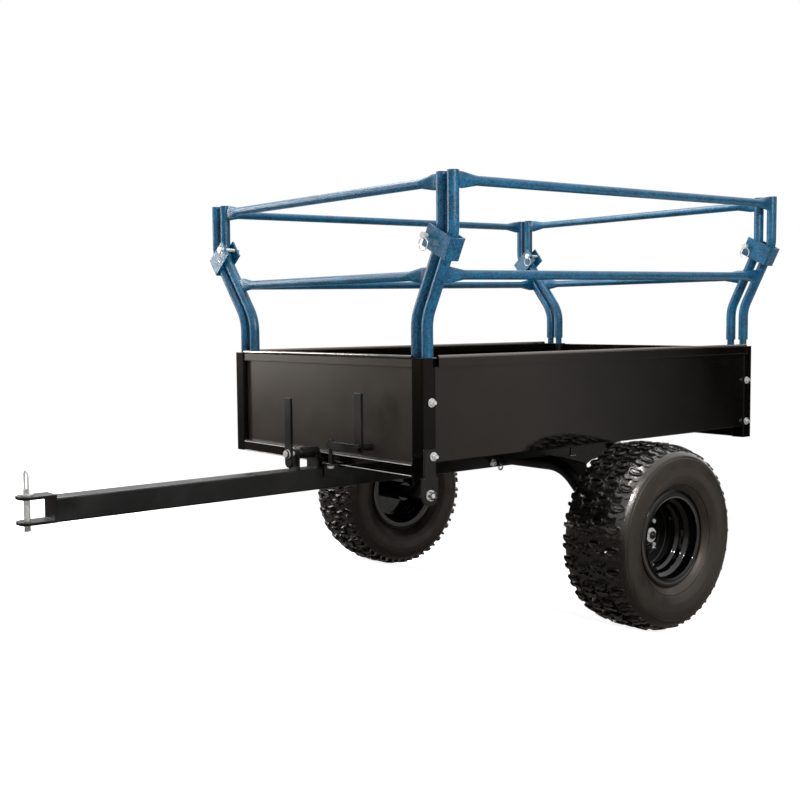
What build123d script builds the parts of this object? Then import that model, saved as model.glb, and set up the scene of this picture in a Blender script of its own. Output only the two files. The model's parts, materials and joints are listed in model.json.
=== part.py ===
"""A dump trailer for an all-terrain vehicle: steel bed with stake racks, tilting on a tongue and arched axle.

Modelled level, with X forward to the hitch, Y to the left and Z up from the floor, the axle over X = 0.
It is then parked nose down, turned about the axle until the hitch pin rests on the floor.
"""
import os
from math import asin, atan2, cos, degrees, hypot, pi, sin

from build123d import *

os.makedirs("parts", exist_ok=True)

# Running gaps and seats
RUNNING_GAP = 5.0
SEAT_GAP = 0.3
PIN_CLEARANCE = 0.1
CUT_SPARE = 1.0

# Bed: sheet steel between four square corner posts
BED_LENGTH = 1222.0
BED_WIDTH = 750.0
BED_HEIGHT = 255.0
SHEET = 2.5
SILL_HEIGHT = 25.0
SILL_WIDTH = 25.0
FLOOR_RISE = 6.5
CORNER_POST = 38.0
POST_CORNER = 4.0
SIDE_INSET = 3.0
PANEL_INSET = 12.0
RIM_HEIGHT = 20.0
RIM_WIDTH = 25.0
RIM_REACH = 10.0
PANEL_RIM_WIDTH = 11.5
GATE_LIP = 15.0
GATE_TOP_GAP = 2.0
GATE_HEM = 15.0
GATE_HEM_INSET = 20.0

# Wheels: 8 inch steel rims in low-pressure tyres
WHEEL_RADIUS = 224.0
WHEEL_GAP = 27.0
TYRE_WIDTH = 185.0
BEAD_WIDTH = 13.0
TREAD_DEPTH = 15.0
TREAD_PITCHES = 27
RIM_RADIUS = 116.0
RIM_BARREL_RADIUS = 98.0
RIM_STEP_RADIUS = 88.0
RIM_WELL_RADIUS = 80.0
RIM_SHEET = 3.0
WHEEL_RIM_WIDTH = 141.0
DISC_RECESS = 100.0
DISC_THICKNESS = 4.5
HUB_RADIUS = 27.0
HUB_LENGTH = 67.0

# Axle
AXLE_RISE = 144.0
AXLE_RADIUS = 19.0
AXLE_UPPER_BEND = 120.0
AXLE_LOWER_BEND = 60.0
AXLE_END_STRAIGHT = 50.0
AXLE_JOINT_INSET = 56.0
AXLE_GUSSET = 8.0
SPINDLE_RADIUS = 9.5
SPINDLE_END = 22.0
SPINDLE_WASHER_RADIUS = 16.5
SPINDLE_WASHER = 3.0

# Tongue and hitch
TONGUE = 50.8
TONGUE_WALL = 3.2
TONGUE_CORNER = 4.0
TONGUE_DROP = 22.0
TONGUE_REACH = 661.0
TONGUE_OVERHANG = 10.0
CLEVIS_PLATE = 6.0
CLEVIS_REACH = 71.0
CLEVIS_WIDTH = 50.0
CLEVIS_PIN = 52.0
HITCH_PIN_RADIUS = 6.35
HITCH_PIN_BELOW = 14.0
HITCH_PIN_ABOVE = 14.0
HANDLE_WIRE = 2.0
HANDLE_WIDTH = 18.0
HANDLE_HEIGHT = 42.0
CLIP_RING_RADIUS = 7.0
CLIP_RING_WIRE = 1.25

# Subframe and dump hinge
ARM_FROM_BEND = 49.0
ARM_THICKNESS = 6.0
ARM_DEPTH = 24.0
ARM_FRONT = 225.0
ARM_END_RADIUS = 18.0
ARM_EYE_RADIUS = 8.0
ARM_EYE_INSET = 36.0
HINGE_X = -244.0
HINGE_RISE = 30.0
HINGE_BOLT_RADIUS = 8.0
HINGE_HEAD_RADIUS = 12.0
HINGE_HEAD = 9.0
HINGE_BRACKET_WIDTH = 52.0
TURNTABLE_X = -95.0
TURNTABLE_RADIUS = 85.0
TURNTABLE_THICKNESS = 6.0
KING_BOLT_RADIUS = 10.0
KING_HEAD_RADIUS = 16.0
KING_HEAD = 8.0
CROSSBAR_WIDTH = 90.0
CROSSBAR_THICKNESS = 8.0
FRONT_BAR_WIDTH = 40.0

# Bed underframe
RAIL_WIDTH = 40.0
RAIL_HEIGHT = 26.5
CROSSMEMBER_WIDTH = 40.0
CROSSMEMBER_INSET = 94.0
BED_LANDING_GAP = 0.6
REST_LENGTH = 45.0
REST_PLATE = 5.0
REST_DEPTH = 22.0
REST_STOP = 23.0

# Stake rack: heights are above the posts' shoulders
POST_RADIUS = 12.7
FOOT_RADIUS = 9.5
FOOT_LENGTH = 60.0
SIDE_FOOT_INSET_X = 25.0
SIDE_FOOT_INSET_Y = 12.5
END_FOOT_INSET = 28.0
LOWER_BEND = 85.0
UPPER_BEND = 254.0
RACK_HEIGHT = 388.0
RACK_BEND_RADIUS = 90.0
LEFT_FLARE = 84.0
RIGHT_FLARE = 136.0
REAR_LIFT = 18.0
LOWER_RAIL_HEIGHT = 175.0
TOP_RAIL_DROP = 19.0
RAIL_RADIUS = 10.5
PADDLE_LENGTH = 66.0
PADDLE_FLAT = 26.0
PADDLE_THICKNESS = 9.0
PADDLE_HEIGHT = 35.0
POCKET_WALL = 2.0
POCKET_DEPTH = 100.0

# Rack clips and their lock pins
CLIP_PLATE = 5.0
CLIP_CORNER = 4.0
CLIP_HEIGHT = 50.0
CLIP_WIDTH = 82.0
LEFT_CLIP_HEIGHT = 232.0
RIGHT_CLIP_HEIGHT = 234.0
LOCK_PIN_RADIUS = 4.0
LOCK_PIN_INSET = 7.0
LOCK_PIN_SPARE = 14.0

# Latch and levers
LATCH_HEIGHT = 37.2
LEVER_REACH = 89.0
LEVER_WIDTH = 25.4
LEVER_THICKNESS = 6.0
LEVER_LENGTH = 163.0
LEVER_BOLT_RADIUS = 9.5
LEVER_BOLT_HEAD = 6.0
LATCH_PLATE = 5.0
LATCH_POST = 8.0
LATCH_WIDTH = 40.0
PLUNGER_RADIUS = 6.0
GUIDE_RADIUS = 13.0
SPRING_RADIUS = 11.0
SPRING_WIRE = 2.0
SPRING_TURNS = 3
SPRING_ROOM = 16.0
SWIVEL_LEVER_REACH = 21.0
SWIVEL_LEVER_Y = 183.0
SWIVEL_LEVER_RISE = 26.0
SWIVEL_LEVER_LENGTH = 123.0
SWIVEL_ARM_LENGTH = 108.0
SWIVEL_BOLT_RADIUS = 8.0
SWIVEL_TAB_WIDTH = 32.0
SWIVEL_PIN_RADIUS = 5.0
SWIVEL_NUT_RADIUS = 8.5
SWIVEL_NUT = 9.0

# Hanger and bolts
HANGER_INSET = 16.0
HANGER_WIDTH = 46.0
HANGER_NECK_WIDTH = 32.0
HANGER_PLATE = 5.0
HANGER_DROP = 61.0
POST_BOLT_INSET = 21.0
POST_BOLT_RADIUS = 9.0
POST_BOLT_HEAD = 8.0
LOWER_BOLT_RISE = 20.0
UPPER_BOLT_RISE = 135.0

# Worked out from the sizes above
half_length = BED_LENGTH / 2
half_width = BED_WIDTH / 2
axle_z = WHEEL_RADIUS + AXLE_RISE
tongue_bottom = axle_z - TONGUE_DROP
tongue_top = tongue_bottom + TONGUE
subframe_top = tongue_top + SEAT_GAP + TURNTABLE_THICKNESS + SEAT_GAP + CROSSBAR_THICKNESS
rail_bottom = subframe_top + BED_LANDING_GAP
floor_z = rail_bottom + RAIL_HEIGHT
floor_top = floor_z + SHEET
sill_top = floor_z - FLOOR_RISE
sill_z = sill_top - SILL_HEIGHT
rim_z = sill_z + BED_HEIGHT
hinge_z = axle_z + HINGE_RISE
post_inner_x = half_length - CORNER_POST
post_inner_y = half_width - CORNER_POST
wheel_y = half_width + WHEEL_GAP + TYRE_WIDTH / 2
disc_y = wheel_y + TYRE_WIDTH / 2 - DISC_RECESS
leg_end_y = disc_y - HUB_LENGTH - CUT_SPARE
bend_y = leg_end_y - AXLE_RISE - AXLE_END_STRAIGHT
arm_y = bend_y - ARM_FROM_BEND
pocket_radius = FOOT_RADIUS + SEAT_GAP + POCKET_WALL
side_foot_x = half_length - SIDE_FOOT_INSET_X
side_foot_y = half_width - SIDE_FOOT_INSET_Y
end_foot_x = half_length - END_FOOT_INSET
end_foot_y = post_inner_y - pocket_radius - SEAT_GAP

SIDES = ((1, "left"), (-1, "right"))
ENDS = ((1, "front"), (-1, "rear"))
finished = {}


def keep(piece, label):
    """Label a finished piece and hold it until the trailer is parked."""
    piece.part.label = label
    finished[label] = piece.part


def block(x, y, z, mode=Mode.ADD):
    """A box between two places along each axis."""
    with Locations(((x[0] + x[1]) / 2, (y[0] + y[1]) / 2, (z[0] + z[1]) / 2)):
        Box(abs(x[1] - x[0]), abs(y[1] - y[0]), abs(z[1] - z[0]), mode=mode)


def rod(start, end, radius, mode=Mode.ADD):
    """A round bar between two points."""
    run = Vector(*end) - Vector(*start)
    with BuildSketch(Plane(origin=start, z_dir=run)) as section:
        Circle(radius)
    extrude(section.sketch, amount=run.length, mode=mode)


def sides(low, high, side):
    """A pair of places along one axis, mirrored when side is -1."""
    return tuple(sorted((side * low, side * high)))


# Tongue: a square steel tube from the hitch back under the turntable, bored for the axle
tongue_front = half_length + TONGUE_REACH
tongue_rear = TURNTABLE_X - TURNTABLE_RADIUS - TONGUE_OVERHANG
bore = TONGUE / 2 - TONGUE_WALL
with BuildPart() as tongue:
    block((tongue_rear, tongue_front), (-TONGUE / 2, TONGUE / 2), (tongue_bottom, tongue_top))
    fillet(tongue.edges().filter_by(Axis.X), radius=TONGUE_CORNER)
    block((tongue_rear, tongue_front), (-bore, bore), (tongue_bottom + TONGUE_WALL, tongue_top - TONGUE_WALL),
          mode=Mode.SUBTRACT)
    rod((0, -TONGUE, axle_z), (0, TONGUE, axle_z), AXLE_RADIUS + SEAT_GAP, mode=Mode.SUBTRACT)
keep(tongue, "tongue_tube")

# Hitch clevis: a U of flat bar, its two plates round at the front, bored for the pin
clevis_top = tongue_top + CLEVIS_PLATE
clevis_front = tongue_front + CLEVIS_REACH
pin_x = tongue_front + CLEVIS_PIN
with BuildPart() as clevis:
    block((tongue_front, clevis_front), (-CLEVIS_WIDTH / 2, CLEVIS_WIDTH / 2), (tongue_bottom, clevis_top))
    fillet(clevis.edges().filter_by(Axis.Z).group_by(Axis.X)[-1], radius=CLEVIS_WIDTH / 3)
    block((tongue_front + CLEVIS_PLATE, clevis_front), (-CLEVIS_WIDTH, CLEVIS_WIDTH),
          (tongue_bottom + CLEVIS_PLATE, clevis_top - CLEVIS_PLATE), mode=Mode.SUBTRACT)
    rod((pin_x, 0, tongue_bottom - CUT_SPARE), (pin_x, 0, clevis_top + CUT_SPARE),
        HITCH_PIN_RADIUS + PIN_CLEARANCE, mode=Mode.SUBTRACT)
keep(clevis, "hitch_clevis")

# Hitch pin: a round pin with a washer and a tall wire handle, and a clip ring through its lower end
pin_bottom = tongue_bottom - HITCH_PIN_BELOW
pin_top = clevis_top + HITCH_PIN_ABOVE
handle_foot = pin_top - HITCH_PIN_RADIUS
with BuildPart() as pin:
    rod((pin_x, 0, pin_bottom), (pin_x, 0, pin_top), HITCH_PIN_RADIUS)
    rod((pin_x, 0, clevis_top + SEAT_GAP), (pin_x, 0, clevis_top + SEAT_GAP + CLEVIS_PLATE / 2),
        2 * HITCH_PIN_RADIUS)
    bow_z = handle_foot + HANDLE_HEIGHT - HANDLE_WIDTH / 2
    with BuildLine() as handle:
        Line((pin_x, -HANDLE_WIDTH / 2, handle_foot), (pin_x, -HANDLE_WIDTH / 2, bow_z))
        ThreePointArc((pin_x, -HANDLE_WIDTH / 2, bow_z), (pin_x, 0, handle_foot + HANDLE_HEIGHT),
                      (pin_x, HANDLE_WIDTH / 2, bow_z))
        Line((pin_x, HANDLE_WIDTH / 2, bow_z), (pin_x, HANDLE_WIDTH / 2, handle_foot))
    with BuildSketch(Plane.XY.offset(handle_foot)) as wire:
        with Locations((pin_x, -HANDLE_WIDTH / 2)):
            Circle(HANDLE_WIRE)
    sweep(wire.sketch, path=handle.line)
    handle_half = HANDLE_WIDTH / 2 + HANDLE_WIRE
    rod((pin_x, -handle_half, handle_foot), (pin_x, handle_half, handle_foot), HANDLE_WIRE)
    with Locations(Location((pin_x, 0, pin_bottom + CLIP_RING_RADIUS + 2 * CLIP_RING_WIRE), (0, 90, 0))):
        Torus(CLIP_RING_RADIUS, CLIP_RING_WIRE)
keep(pin, "hitch_pin")

# Axle: a straight tube welded through the tongue, and a bent leg with a gusset and the spindle at each end
joint_y = arm_y - AXLE_JOINT_INSET
with BuildPart() as axle:
    rod((0, -joint_y, axle_z), (0, joint_y, axle_z), AXLE_RADIUS)
keep(axle, "axle_tube")

spindle_end = disc_y + SPINDLE_END
washer_y = disc_y + SPINDLE_END - 3 * SPINDLE_WASHER
gusset_drop = AXLE_RISE / 4
for side, name in SIDES:
    with BuildPart() as leg:
        with BuildLine() as route:
            FilletPolyline((0, side * joint_y, axle_z), (0, side * bend_y, axle_z),
                           (0, side * (bend_y + AXLE_RISE), WHEEL_RADIUS), (0, side * leg_end_y, WHEEL_RADIUS),
                           radius=(AXLE_UPPER_BEND, AXLE_LOWER_BEND))
        with BuildSketch(Plane(origin=(0, side * joint_y, axle_z), z_dir=(0, side, 0))):
            Circle(AXLE_RADIUS)
        sweep(path=route.line)
        with BuildSketch(Plane.YZ.offset(-AXLE_GUSSET / 2)) as gusset:
            with BuildLine():
                Polyline((side * (bend_y - AXLE_RADIUS), axle_z),
                         (side * (bend_y - AXLE_RADIUS), axle_z + AXLE_RADIUS),
                         (side * (bend_y + 2 * gusset_drop), axle_z + AXLE_RADIUS / 2),
                         (side * (bend_y + 2 * gusset_drop), axle_z - gusset_drop),
                         (side * (bend_y + gusset_drop), axle_z - gusset_drop), close=True)
            make_face()
        extrude(gusset.sketch, amount=AXLE_GUSSET)
        rod((0, side * leg_end_y, WHEEL_RADIUS), (0, side * spindle_end, WHEEL_RADIUS), SPINDLE_RADIUS)
        rod((0, side * washer_y, WHEEL_RADIUS), (0, side * (washer_y + SPINDLE_WASHER), WHEEL_RADIUS),
            SPINDLE_WASHER_RADIUS)
    keep(leg, "axle_leg_" + name)

# Tyre: a low-pressure carcass on the rim's bead seats, with four columns of lugs round it
tyre_half = TYRE_WIDTH / 2
rim_half = WHEEL_RIM_WIDTH / 2
bead_y = rim_half - RIM_SHEET - SEAT_GAP
bead_radius = RIM_BARREL_RADIUS + SEAT_GAP
bead_top = RIM_RADIUS + SEAT_GAP
crown_radius = WHEEL_RADIUS - TREAD_DEPTH - 4
# Half of the section: distance from the tyre's middle, radius
tyre_outside = (
    (bead_y, bead_radius),
    (bead_y, bead_top),
    (rim_half + 6, bead_top + 16),
    (tyre_half, WHEEL_RADIUS - 54),
    (tyre_half - 4.5, WHEEL_RADIUS - 24),
    (tyre_half - 12.5, crown_radius),
)
tyre_inside = (
    (bead_y - BEAD_WIDTH, bead_radius),
    (bead_y - BEAD_WIDTH - 4, crown_radius - TREAD_DEPTH),
)
# Like columns of lugs, one each side of the middle
TREAD_COLUMNS = (
    # inner edge, outer edge, drop of the lugs' tops, phase in pitches
    (0.0, 42.0, 0.0, 0.11),
    (42.0, 79.0, 5.0, -0.12),
)
# One pitch of a lug ring: share of the pitch, whether it is on top
LUG_CORNERS = ((-0.38, False), (-0.30, True), (0.30, True), (0.38, False))


def lug_ring(drop, phase):
    """The toothed outline of one column of lugs, seen along the axle."""
    points = []
    for pitch in range(TREAD_PITCHES):
        for share, on_top in LUG_CORNERS:
            angle = 2 * pi * (pitch + phase + share) / TREAD_PITCHES
            radius = WHEEL_RADIUS - (drop if on_top else TREAD_DEPTH)
            points.append((radius * cos(angle), radius * sin(angle)))
    return points


with BuildPart() as tyre:
    section = [(wheel_y - y, radius) for y, radius in tyre_outside]
    section += [(wheel_y + y, radius) for y, radius in reversed(tyre_outside)]
    section += [(wheel_y + y, radius) for y, radius in tyre_inside]
    section += [(wheel_y - y, radius) for y, radius in reversed(tyre_inside)]
    with BuildSketch(Plane.YZ):
        with BuildLine():
            Polyline(*section, close=True)
        make_face()
    revolve(axis=Axis.Y)
    for inner_edge, outer_edge, drop, phase in TREAD_COLUMNS:
        for side, name in SIDES:
            with BuildSketch(Plane.XZ.offset(-wheel_y - side * inner_edge)) as ring:
                with BuildLine():
                    Polyline(*lug_ring(drop, side * phase), close=True)
                make_face()
                Circle(crown_radius - TREAD_DEPTH / 2, mode=Mode.SUBTRACT)
            extrude(ring.sketch, amount=-side * (outer_edge - inner_edge))
tyre.part.locate(Location((0, 0, WHEEL_RADIUS)))
keep(tyre, "tyre_left")
with BuildPart() as mirrored_tyre:
    mirror(tyre.part, about=Plane.XZ)
keep(mirrored_tyre, "tyre_right")

# Rim: pressed sheet, from a flange over a bead seat in two steps to a well that both halves share
# Half of the sheet's outer side: distance from the rim's edge, radius
rim_edge = wheel_y + rim_half
rim_outside = (
    (RIM_SHEET, RIM_RADIUS),
    (RIM_SHEET, RIM_BARREL_RADIUS),
    (26.0, RIM_BARREL_RADIUS),
    (31.0, RIM_STEP_RADIUS),
    (44.0, RIM_STEP_RADIUS),
    (48.0, RIM_WELL_RADIUS),
)
rim_inside = (
    (0.0, RIM_RADIUS),
    (0.0, RIM_BARREL_RADIUS - RIM_SHEET),
    (26.0 - RIM_SHEET, RIM_BARREL_RADIUS - RIM_SHEET),
    (31.0 - RIM_SHEET, RIM_STEP_RADIUS - RIM_SHEET),
    (44.0 - RIM_SHEET, RIM_STEP_RADIUS - RIM_SHEET),
    (48.0 - RIM_SHEET, RIM_WELL_RADIUS - RIM_SHEET),
)
for side, name in SIDES:
    edge, far_edge = side * rim_edge, side * (rim_edge - WHEEL_RIM_WIDTH)
    disc = side * disc_y
    with BuildPart() as rim:
        section = [(edge - side * depth, radius) for depth, radius in rim_outside]
        section += [(far_edge + side * depth, radius) for depth, radius in reversed(rim_outside)]
        section += [(far_edge + side * depth, radius) for depth, radius in rim_inside]
        section += [(edge - side * depth, radius) for depth, radius in reversed(rim_inside)]
        with BuildSketch(Plane.YZ):
            with BuildLine():
                Polyline(*section, close=True)
            make_face()
        revolve(axis=Axis.Y)
        rod((0, disc, 0), (0, disc - side * DISC_THICKNESS, 0), RIM_WELL_RADIUS - RIM_SHEET / 2)
        rod((0, disc, 0), (0, disc - side * HUB_LENGTH, 0), HUB_RADIUS)
        rod((0, disc + side * CUT_SPARE, 0), (0, disc - side * (HUB_LENGTH + CUT_SPARE), 0),
            SPINDLE_RADIUS + PIN_CLEARANCE, mode=Mode.SUBTRACT)
    rim.part.locate(Location((0, 0, WHEEL_RADIUS)))
    keep(rim, "rim_" + name)

# Subframe: two flat arms on the axle, tied by a crossbar on the turntable and a bar at the front.
# Each arm runs back to the dump hinge and has a small eye below its front end.
arm_bottom = subframe_top - ARM_DEPTH
for side, name in SIDES:
    with BuildPart() as arm:
        with BuildSketch(Plane.XZ.offset(-arm_y if side > 0 else arm_y + ARM_THICKNESS)):
            with BuildLine():
                Polyline((ARM_FRONT, subframe_top), (HINGE_X, hinge_z + ARM_END_RADIUS * 0.75),
                         (HINGE_X, hinge_z - ARM_END_RADIUS), (-2 * AXLE_RADIUS, arm_bottom),
                         (ARM_FRONT, arm_bottom), close=True)
            make_face()
            with Locations((HINGE_X, hinge_z)):
                Circle(ARM_END_RADIUS)
            with Locations((ARM_FRONT - ARM_EYE_INSET, arm_bottom - ARM_EYE_RADIUS / 2)):
                Circle(ARM_EYE_RADIUS)
                Circle(ARM_EYE_RADIUS / 2, mode=Mode.SUBTRACT)
            with Locations((HINGE_X, hinge_z)):
                Circle(HINGE_BOLT_RADIUS + PIN_CLEARANCE, mode=Mode.SUBTRACT)
        extrude(amount=-ARM_THICKNESS)
    keep(arm, "subframe_arm_" + name)

plate_top = tongue_top + TURNTABLE_THICKNESS
with BuildPart() as turntable:
    rod((TURNTABLE_X, 0, tongue_top), (TURNTABLE_X, 0, plate_top), TURNTABLE_RADIUS)
    rod((TURNTABLE_X, 0, tongue_top - CUT_SPARE), (TURNTABLE_X, 0, plate_top + CUT_SPARE),
        KING_BOLT_RADIUS + SEAT_GAP, mode=Mode.SUBTRACT)
keep(turntable, "turntable_plate")

with BuildPart() as crossbar:
    block((TURNTABLE_X - CROSSBAR_WIDTH / 2, TURNTABLE_X + CROSSBAR_WIDTH / 2), (-arm_y, arm_y),
          (subframe_top - CROSSBAR_THICKNESS, subframe_top))
    rod((TURNTABLE_X, 0, subframe_top - 2 * CROSSBAR_THICKNESS), (TURNTABLE_X, 0, subframe_top + CUT_SPARE),
        KING_BOLT_RADIUS + SEAT_GAP, mode=Mode.SUBTRACT)
keep(crossbar, "subframe_crossbar")

with BuildPart() as king_bolt:
    rod((TURNTABLE_X, 0, tongue_top), (TURNTABLE_X, 0, subframe_top + SEAT_GAP), KING_BOLT_RADIUS)
    rod((TURNTABLE_X, 0, subframe_top + SEAT_GAP), (TURNTABLE_X, 0, subframe_top + KING_HEAD), KING_HEAD_RADIUS)
keep(king_bolt, "king_bolt")

with BuildPart() as front_bar:
    block((ARM_FRONT - FRONT_BAR_WIDTH, ARM_FRONT), (-arm_y, arm_y), (tongue_top, subframe_top))
keep(front_bar, "subframe_front_bar")

# Dump hinge: bolts through the arms and through brackets under the bed
bracket_y = arm_y + ARM_THICKNESS + RUNNING_GAP
bracket_outer_y = bracket_y + ARM_THICKNESS
with BuildPart() as hinge_bolts:
    for side, name in SIDES:
        rod((HINGE_X, side * (arm_y - HINGE_HEAD), hinge_z),
            (HINGE_X, side * (bracket_outer_y + HINGE_HEAD), hinge_z), HINGE_BOLT_RADIUS)
        # Head, spacer between arm and bracket, nut: inner and outer end
        for inner, outer in ((arm_y - HINGE_HEAD, arm_y), (arm_y + ARM_THICKNESS, bracket_y - SEAT_GAP),
                             (bracket_outer_y + SEAT_GAP, bracket_outer_y + HINGE_HEAD)):
            rod((HINGE_X, side * inner, hinge_z), (HINGE_X, side * outer, hinge_z), HINGE_HEAD_RADIUS)
keep(hinge_bolts, "hinge_bolts")

with BuildPart() as hinge_brackets:
    for side, name in SIDES:
        with BuildSketch(Plane.XZ.offset(-bracket_y if side > 0 else bracket_outer_y)):
            with BuildLine():
                Polyline((HINGE_X - HINGE_BRACKET_WIDTH / 2, floor_z),
                         (HINGE_X + HINGE_BRACKET_WIDTH / 2, floor_z),
                         (HINGE_X + ARM_END_RADIUS, hinge_z), (HINGE_X - ARM_END_RADIUS, hinge_z), close=True)
            make_face()
            with Locations((HINGE_X, hinge_z)):
                Circle(ARM_END_RADIUS)
                Circle(HINGE_BOLT_RADIUS + PIN_CLEARANCE, mode=Mode.SUBTRACT)
        extrude(amount=-ARM_THICKNESS)
keep(hinge_brackets, "hinge_brackets")

# Bed underframe: a channel each side lengthwise, with cross pieces between them
rail_outer_y = bracket_outer_y + RAIL_WIDTH
with BuildPart() as rails:
    for side, name in SIDES:
        block((-post_inner_x, post_inner_x), sides(bracket_outer_y, rail_outer_y, side), (rail_bottom, floor_z))
        block((-post_inner_x, post_inner_x), sides(bracket_outer_y + SHEET, rail_outer_y - SHEET, side),
              (rail_bottom, floor_z - SHEET), mode=Mode.SUBTRACT)
keep(rails, "bed_rails")

outer_member_x = half_length - CROSSMEMBER_INSET - CORNER_POST - CROSSMEMBER_WIDTH / 2
with BuildPart() as crossmembers:
    for x in (-outer_member_x, ARM_FRONT - FRONT_BAR_WIDTH / 2, outer_member_x):
        block((x - CROSSMEMBER_WIDTH / 2, x + CROSSMEMBER_WIDTH / 2), (-bracket_outer_y, bracket_outer_y),
              (rail_bottom, floor_z))
keep(crossmembers, "bed_crossmembers")

# Bed floor and walls: the floor sheet lies inside the walls and ends just ahead of the tailgate
lip_x = half_length - SHEET
gate_outer_x = lip_x - RUNNING_GAP
gate_inner_x = gate_outer_x - SHEET
wall_inner_y = half_width - SIDE_INSET - SHEET
panel_outer_x = half_length - PANEL_INSET
panel_inner_x = panel_outer_x - SHEET
floor_half_y = wall_inner_y - SEAT_GAP
with BuildPart() as floor:
    block((-gate_inner_x + RUNNING_GAP, panel_inner_x - SEAT_GAP), (-floor_half_y, floor_half_y),
          (floor_z, floor_top))
    for x in (1, -1):
        for y in (1, -1):
            block(sides(post_inner_x - SEAT_GAP, half_length, x), sides(post_inner_y - SEAT_GAP, half_width, y),
                  (floor_z - CUT_SPARE, floor_top + CUT_SPARE), mode=Mode.SUBTRACT)
keep(floor, "bed_floor")

# Each side is folded over outwards into a rim with a turned-down lip
rim_outer_y = half_width + RIM_REACH
between_posts = (-post_inner_x, post_inner_x)
for side, name in SIDES:
    with BuildPart() as wall:
        block(between_posts, sides(wall_inner_y, wall_inner_y + SHEET, side), (floor_z, rim_z))
        block(between_posts, sides(rim_outer_y - RIM_WIDTH, rim_outer_y, side), (rim_z - SHEET, rim_z))
        for lip in (rim_outer_y - SHEET, rim_outer_y - RIM_WIDTH):
            block(between_posts, sides(lip, lip + SHEET, side), (rim_z - RIM_HEIGHT, rim_z))
    keep(wall, "bed_side_" + name)

across_posts = (-post_inner_y, post_inner_y)
with BuildPart() as front_panel:
    block((panel_inner_x, panel_outer_x), across_posts, (sill_top, rim_z))
    block((panel_inner_x, half_length), across_posts, (sill_top, sill_top + SHEET))
    block((panel_inner_x, panel_inner_x + PANEL_RIM_WIDTH), across_posts, (rim_z - SHEET, rim_z))
    block((panel_inner_x + PANEL_RIM_WIDTH - SHEET, panel_inner_x + PANEL_RIM_WIDTH), across_posts,
          (rim_z - RIM_HEIGHT, rim_z))
keep(front_panel, "bed_front_panel")

# Sills, the front one with a tab that holds the swivel lever's pin
swivel_x = half_length + SWIVEL_LEVER_REACH
swivel_pin_y = SWIVEL_LEVER_Y - SWIVEL_ARM_LENGTH
tab_z = sill_z + SHEET
with BuildPart() as sills:
    for x in (1, -1):
        block(sides(half_length - SILL_WIDTH, half_length, x), across_posts, (sill_z, sill_top))
    block((half_length, swivel_x + SWIVEL_TAB_WIDTH / 2),
          (swivel_pin_y - SWIVEL_TAB_WIDTH / 2, swivel_pin_y + SWIVEL_TAB_WIDTH / 2),
          (tab_z, tab_z + 2 * SHEET))
    rod((swivel_x + LEVER_THICKNESS / 2, swivel_pin_y, tab_z - CUT_SPARE),
        (swivel_x + LEVER_THICKNESS / 2, swivel_pin_y, tab_z + 3 * SHEET),
        SWIVEL_PIN_RADIUS + PIN_CLEARANCE, mode=Mode.SUBTRACT)
keep(sills, "bed_sills")

# Corner posts: square tubes with round corners, capped and drilled for the rack's feet.
# The rear ones have a lip that holds the tailgate.
for front, end in ENDS:
    for side, name in SIDES:
        foot = (front * side_foot_x, side * side_foot_y)
        with BuildPart() as post:
            block(sides(post_inner_x, half_length, front), sides(post_inner_y, half_width, side),
                  (sill_z, rim_z))
            fillet(post.edges().filter_by(Axis.Z), radius=POST_CORNER)
            block(sides(post_inner_x + SHEET, half_length - SHEET, front),
                  sides(post_inner_y + SHEET, half_width - SHEET, side), (sill_z, rim_z - SHEET),
                  mode=Mode.SUBTRACT)
            rod((*foot, rim_z - 2 * SHEET), (*foot, rim_z + CUT_SPARE), FOOT_RADIUS + SEAT_GAP,
                mode=Mode.SUBTRACT)
            if front < 0:
                block((-half_length, -lip_x), sides(post_inner_y - GATE_LIP, post_inner_y + POST_CORNER, side),
                      (sill_top, rim_z))
        keep(post, "corner_post_" + end + "_" + name)

# Pockets for the feet of the front and rear racks
with BuildPart() as pockets:
    for x in (1, -1):
        for y in (1, -1):
            foot = (x * end_foot_x, y * end_foot_y)
            rod((*foot, rim_z - POCKET_DEPTH), (*foot, rim_z), pocket_radius)
            rod((*foot, rim_z - POCKET_DEPTH - CUT_SPARE), (*foot, rim_z + CUT_SPARE), FOOT_RADIUS + SEAT_GAP,
                mode=Mode.SUBTRACT)
keep(pockets, "stake_pockets")

# Tailgate: a sheet with a doubled top hem that lifts out upwards between the rear posts
gate_half_y = post_inner_y - RUNNING_GAP
gate_top = rim_z - GATE_TOP_GAP
with BuildPart() as tailgate:
    block((-gate_outer_x, -gate_inner_x), (-gate_half_y, gate_half_y), (sill_top + SEAT_GAP, gate_top))
    block((-gate_outer_x - SHEET, -gate_outer_x), (-gate_half_y + GATE_HEM_INSET, gate_half_y - GATE_HEM_INSET),
          (gate_top - GATE_HEM, gate_top))
keep(tailgate, "tailgate")

# Stake rack: four panels, each of two bent posts and two rails with flattened ends. The rear posts stand
# a little up out of their sockets, and the rack leans to the right in them.
flare = {1: LEFT_FLARE, -1: RIGHT_FLARE}
shoulder_z = {1: rim_z + SEAT_GAP, -1: rim_z + REAR_LIFT}
rail_share = (LOWER_RAIL_HEIGHT - LOWER_BEND) / (UPPER_BEND - LOWER_BEND)
# Both rails: height above the shoulder, share of the flare at that height
RAILS = ((LOWER_RAIL_HEIGHT, rail_share), (RACK_HEIGHT - TOP_RAIL_DROP, 1.0))


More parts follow.
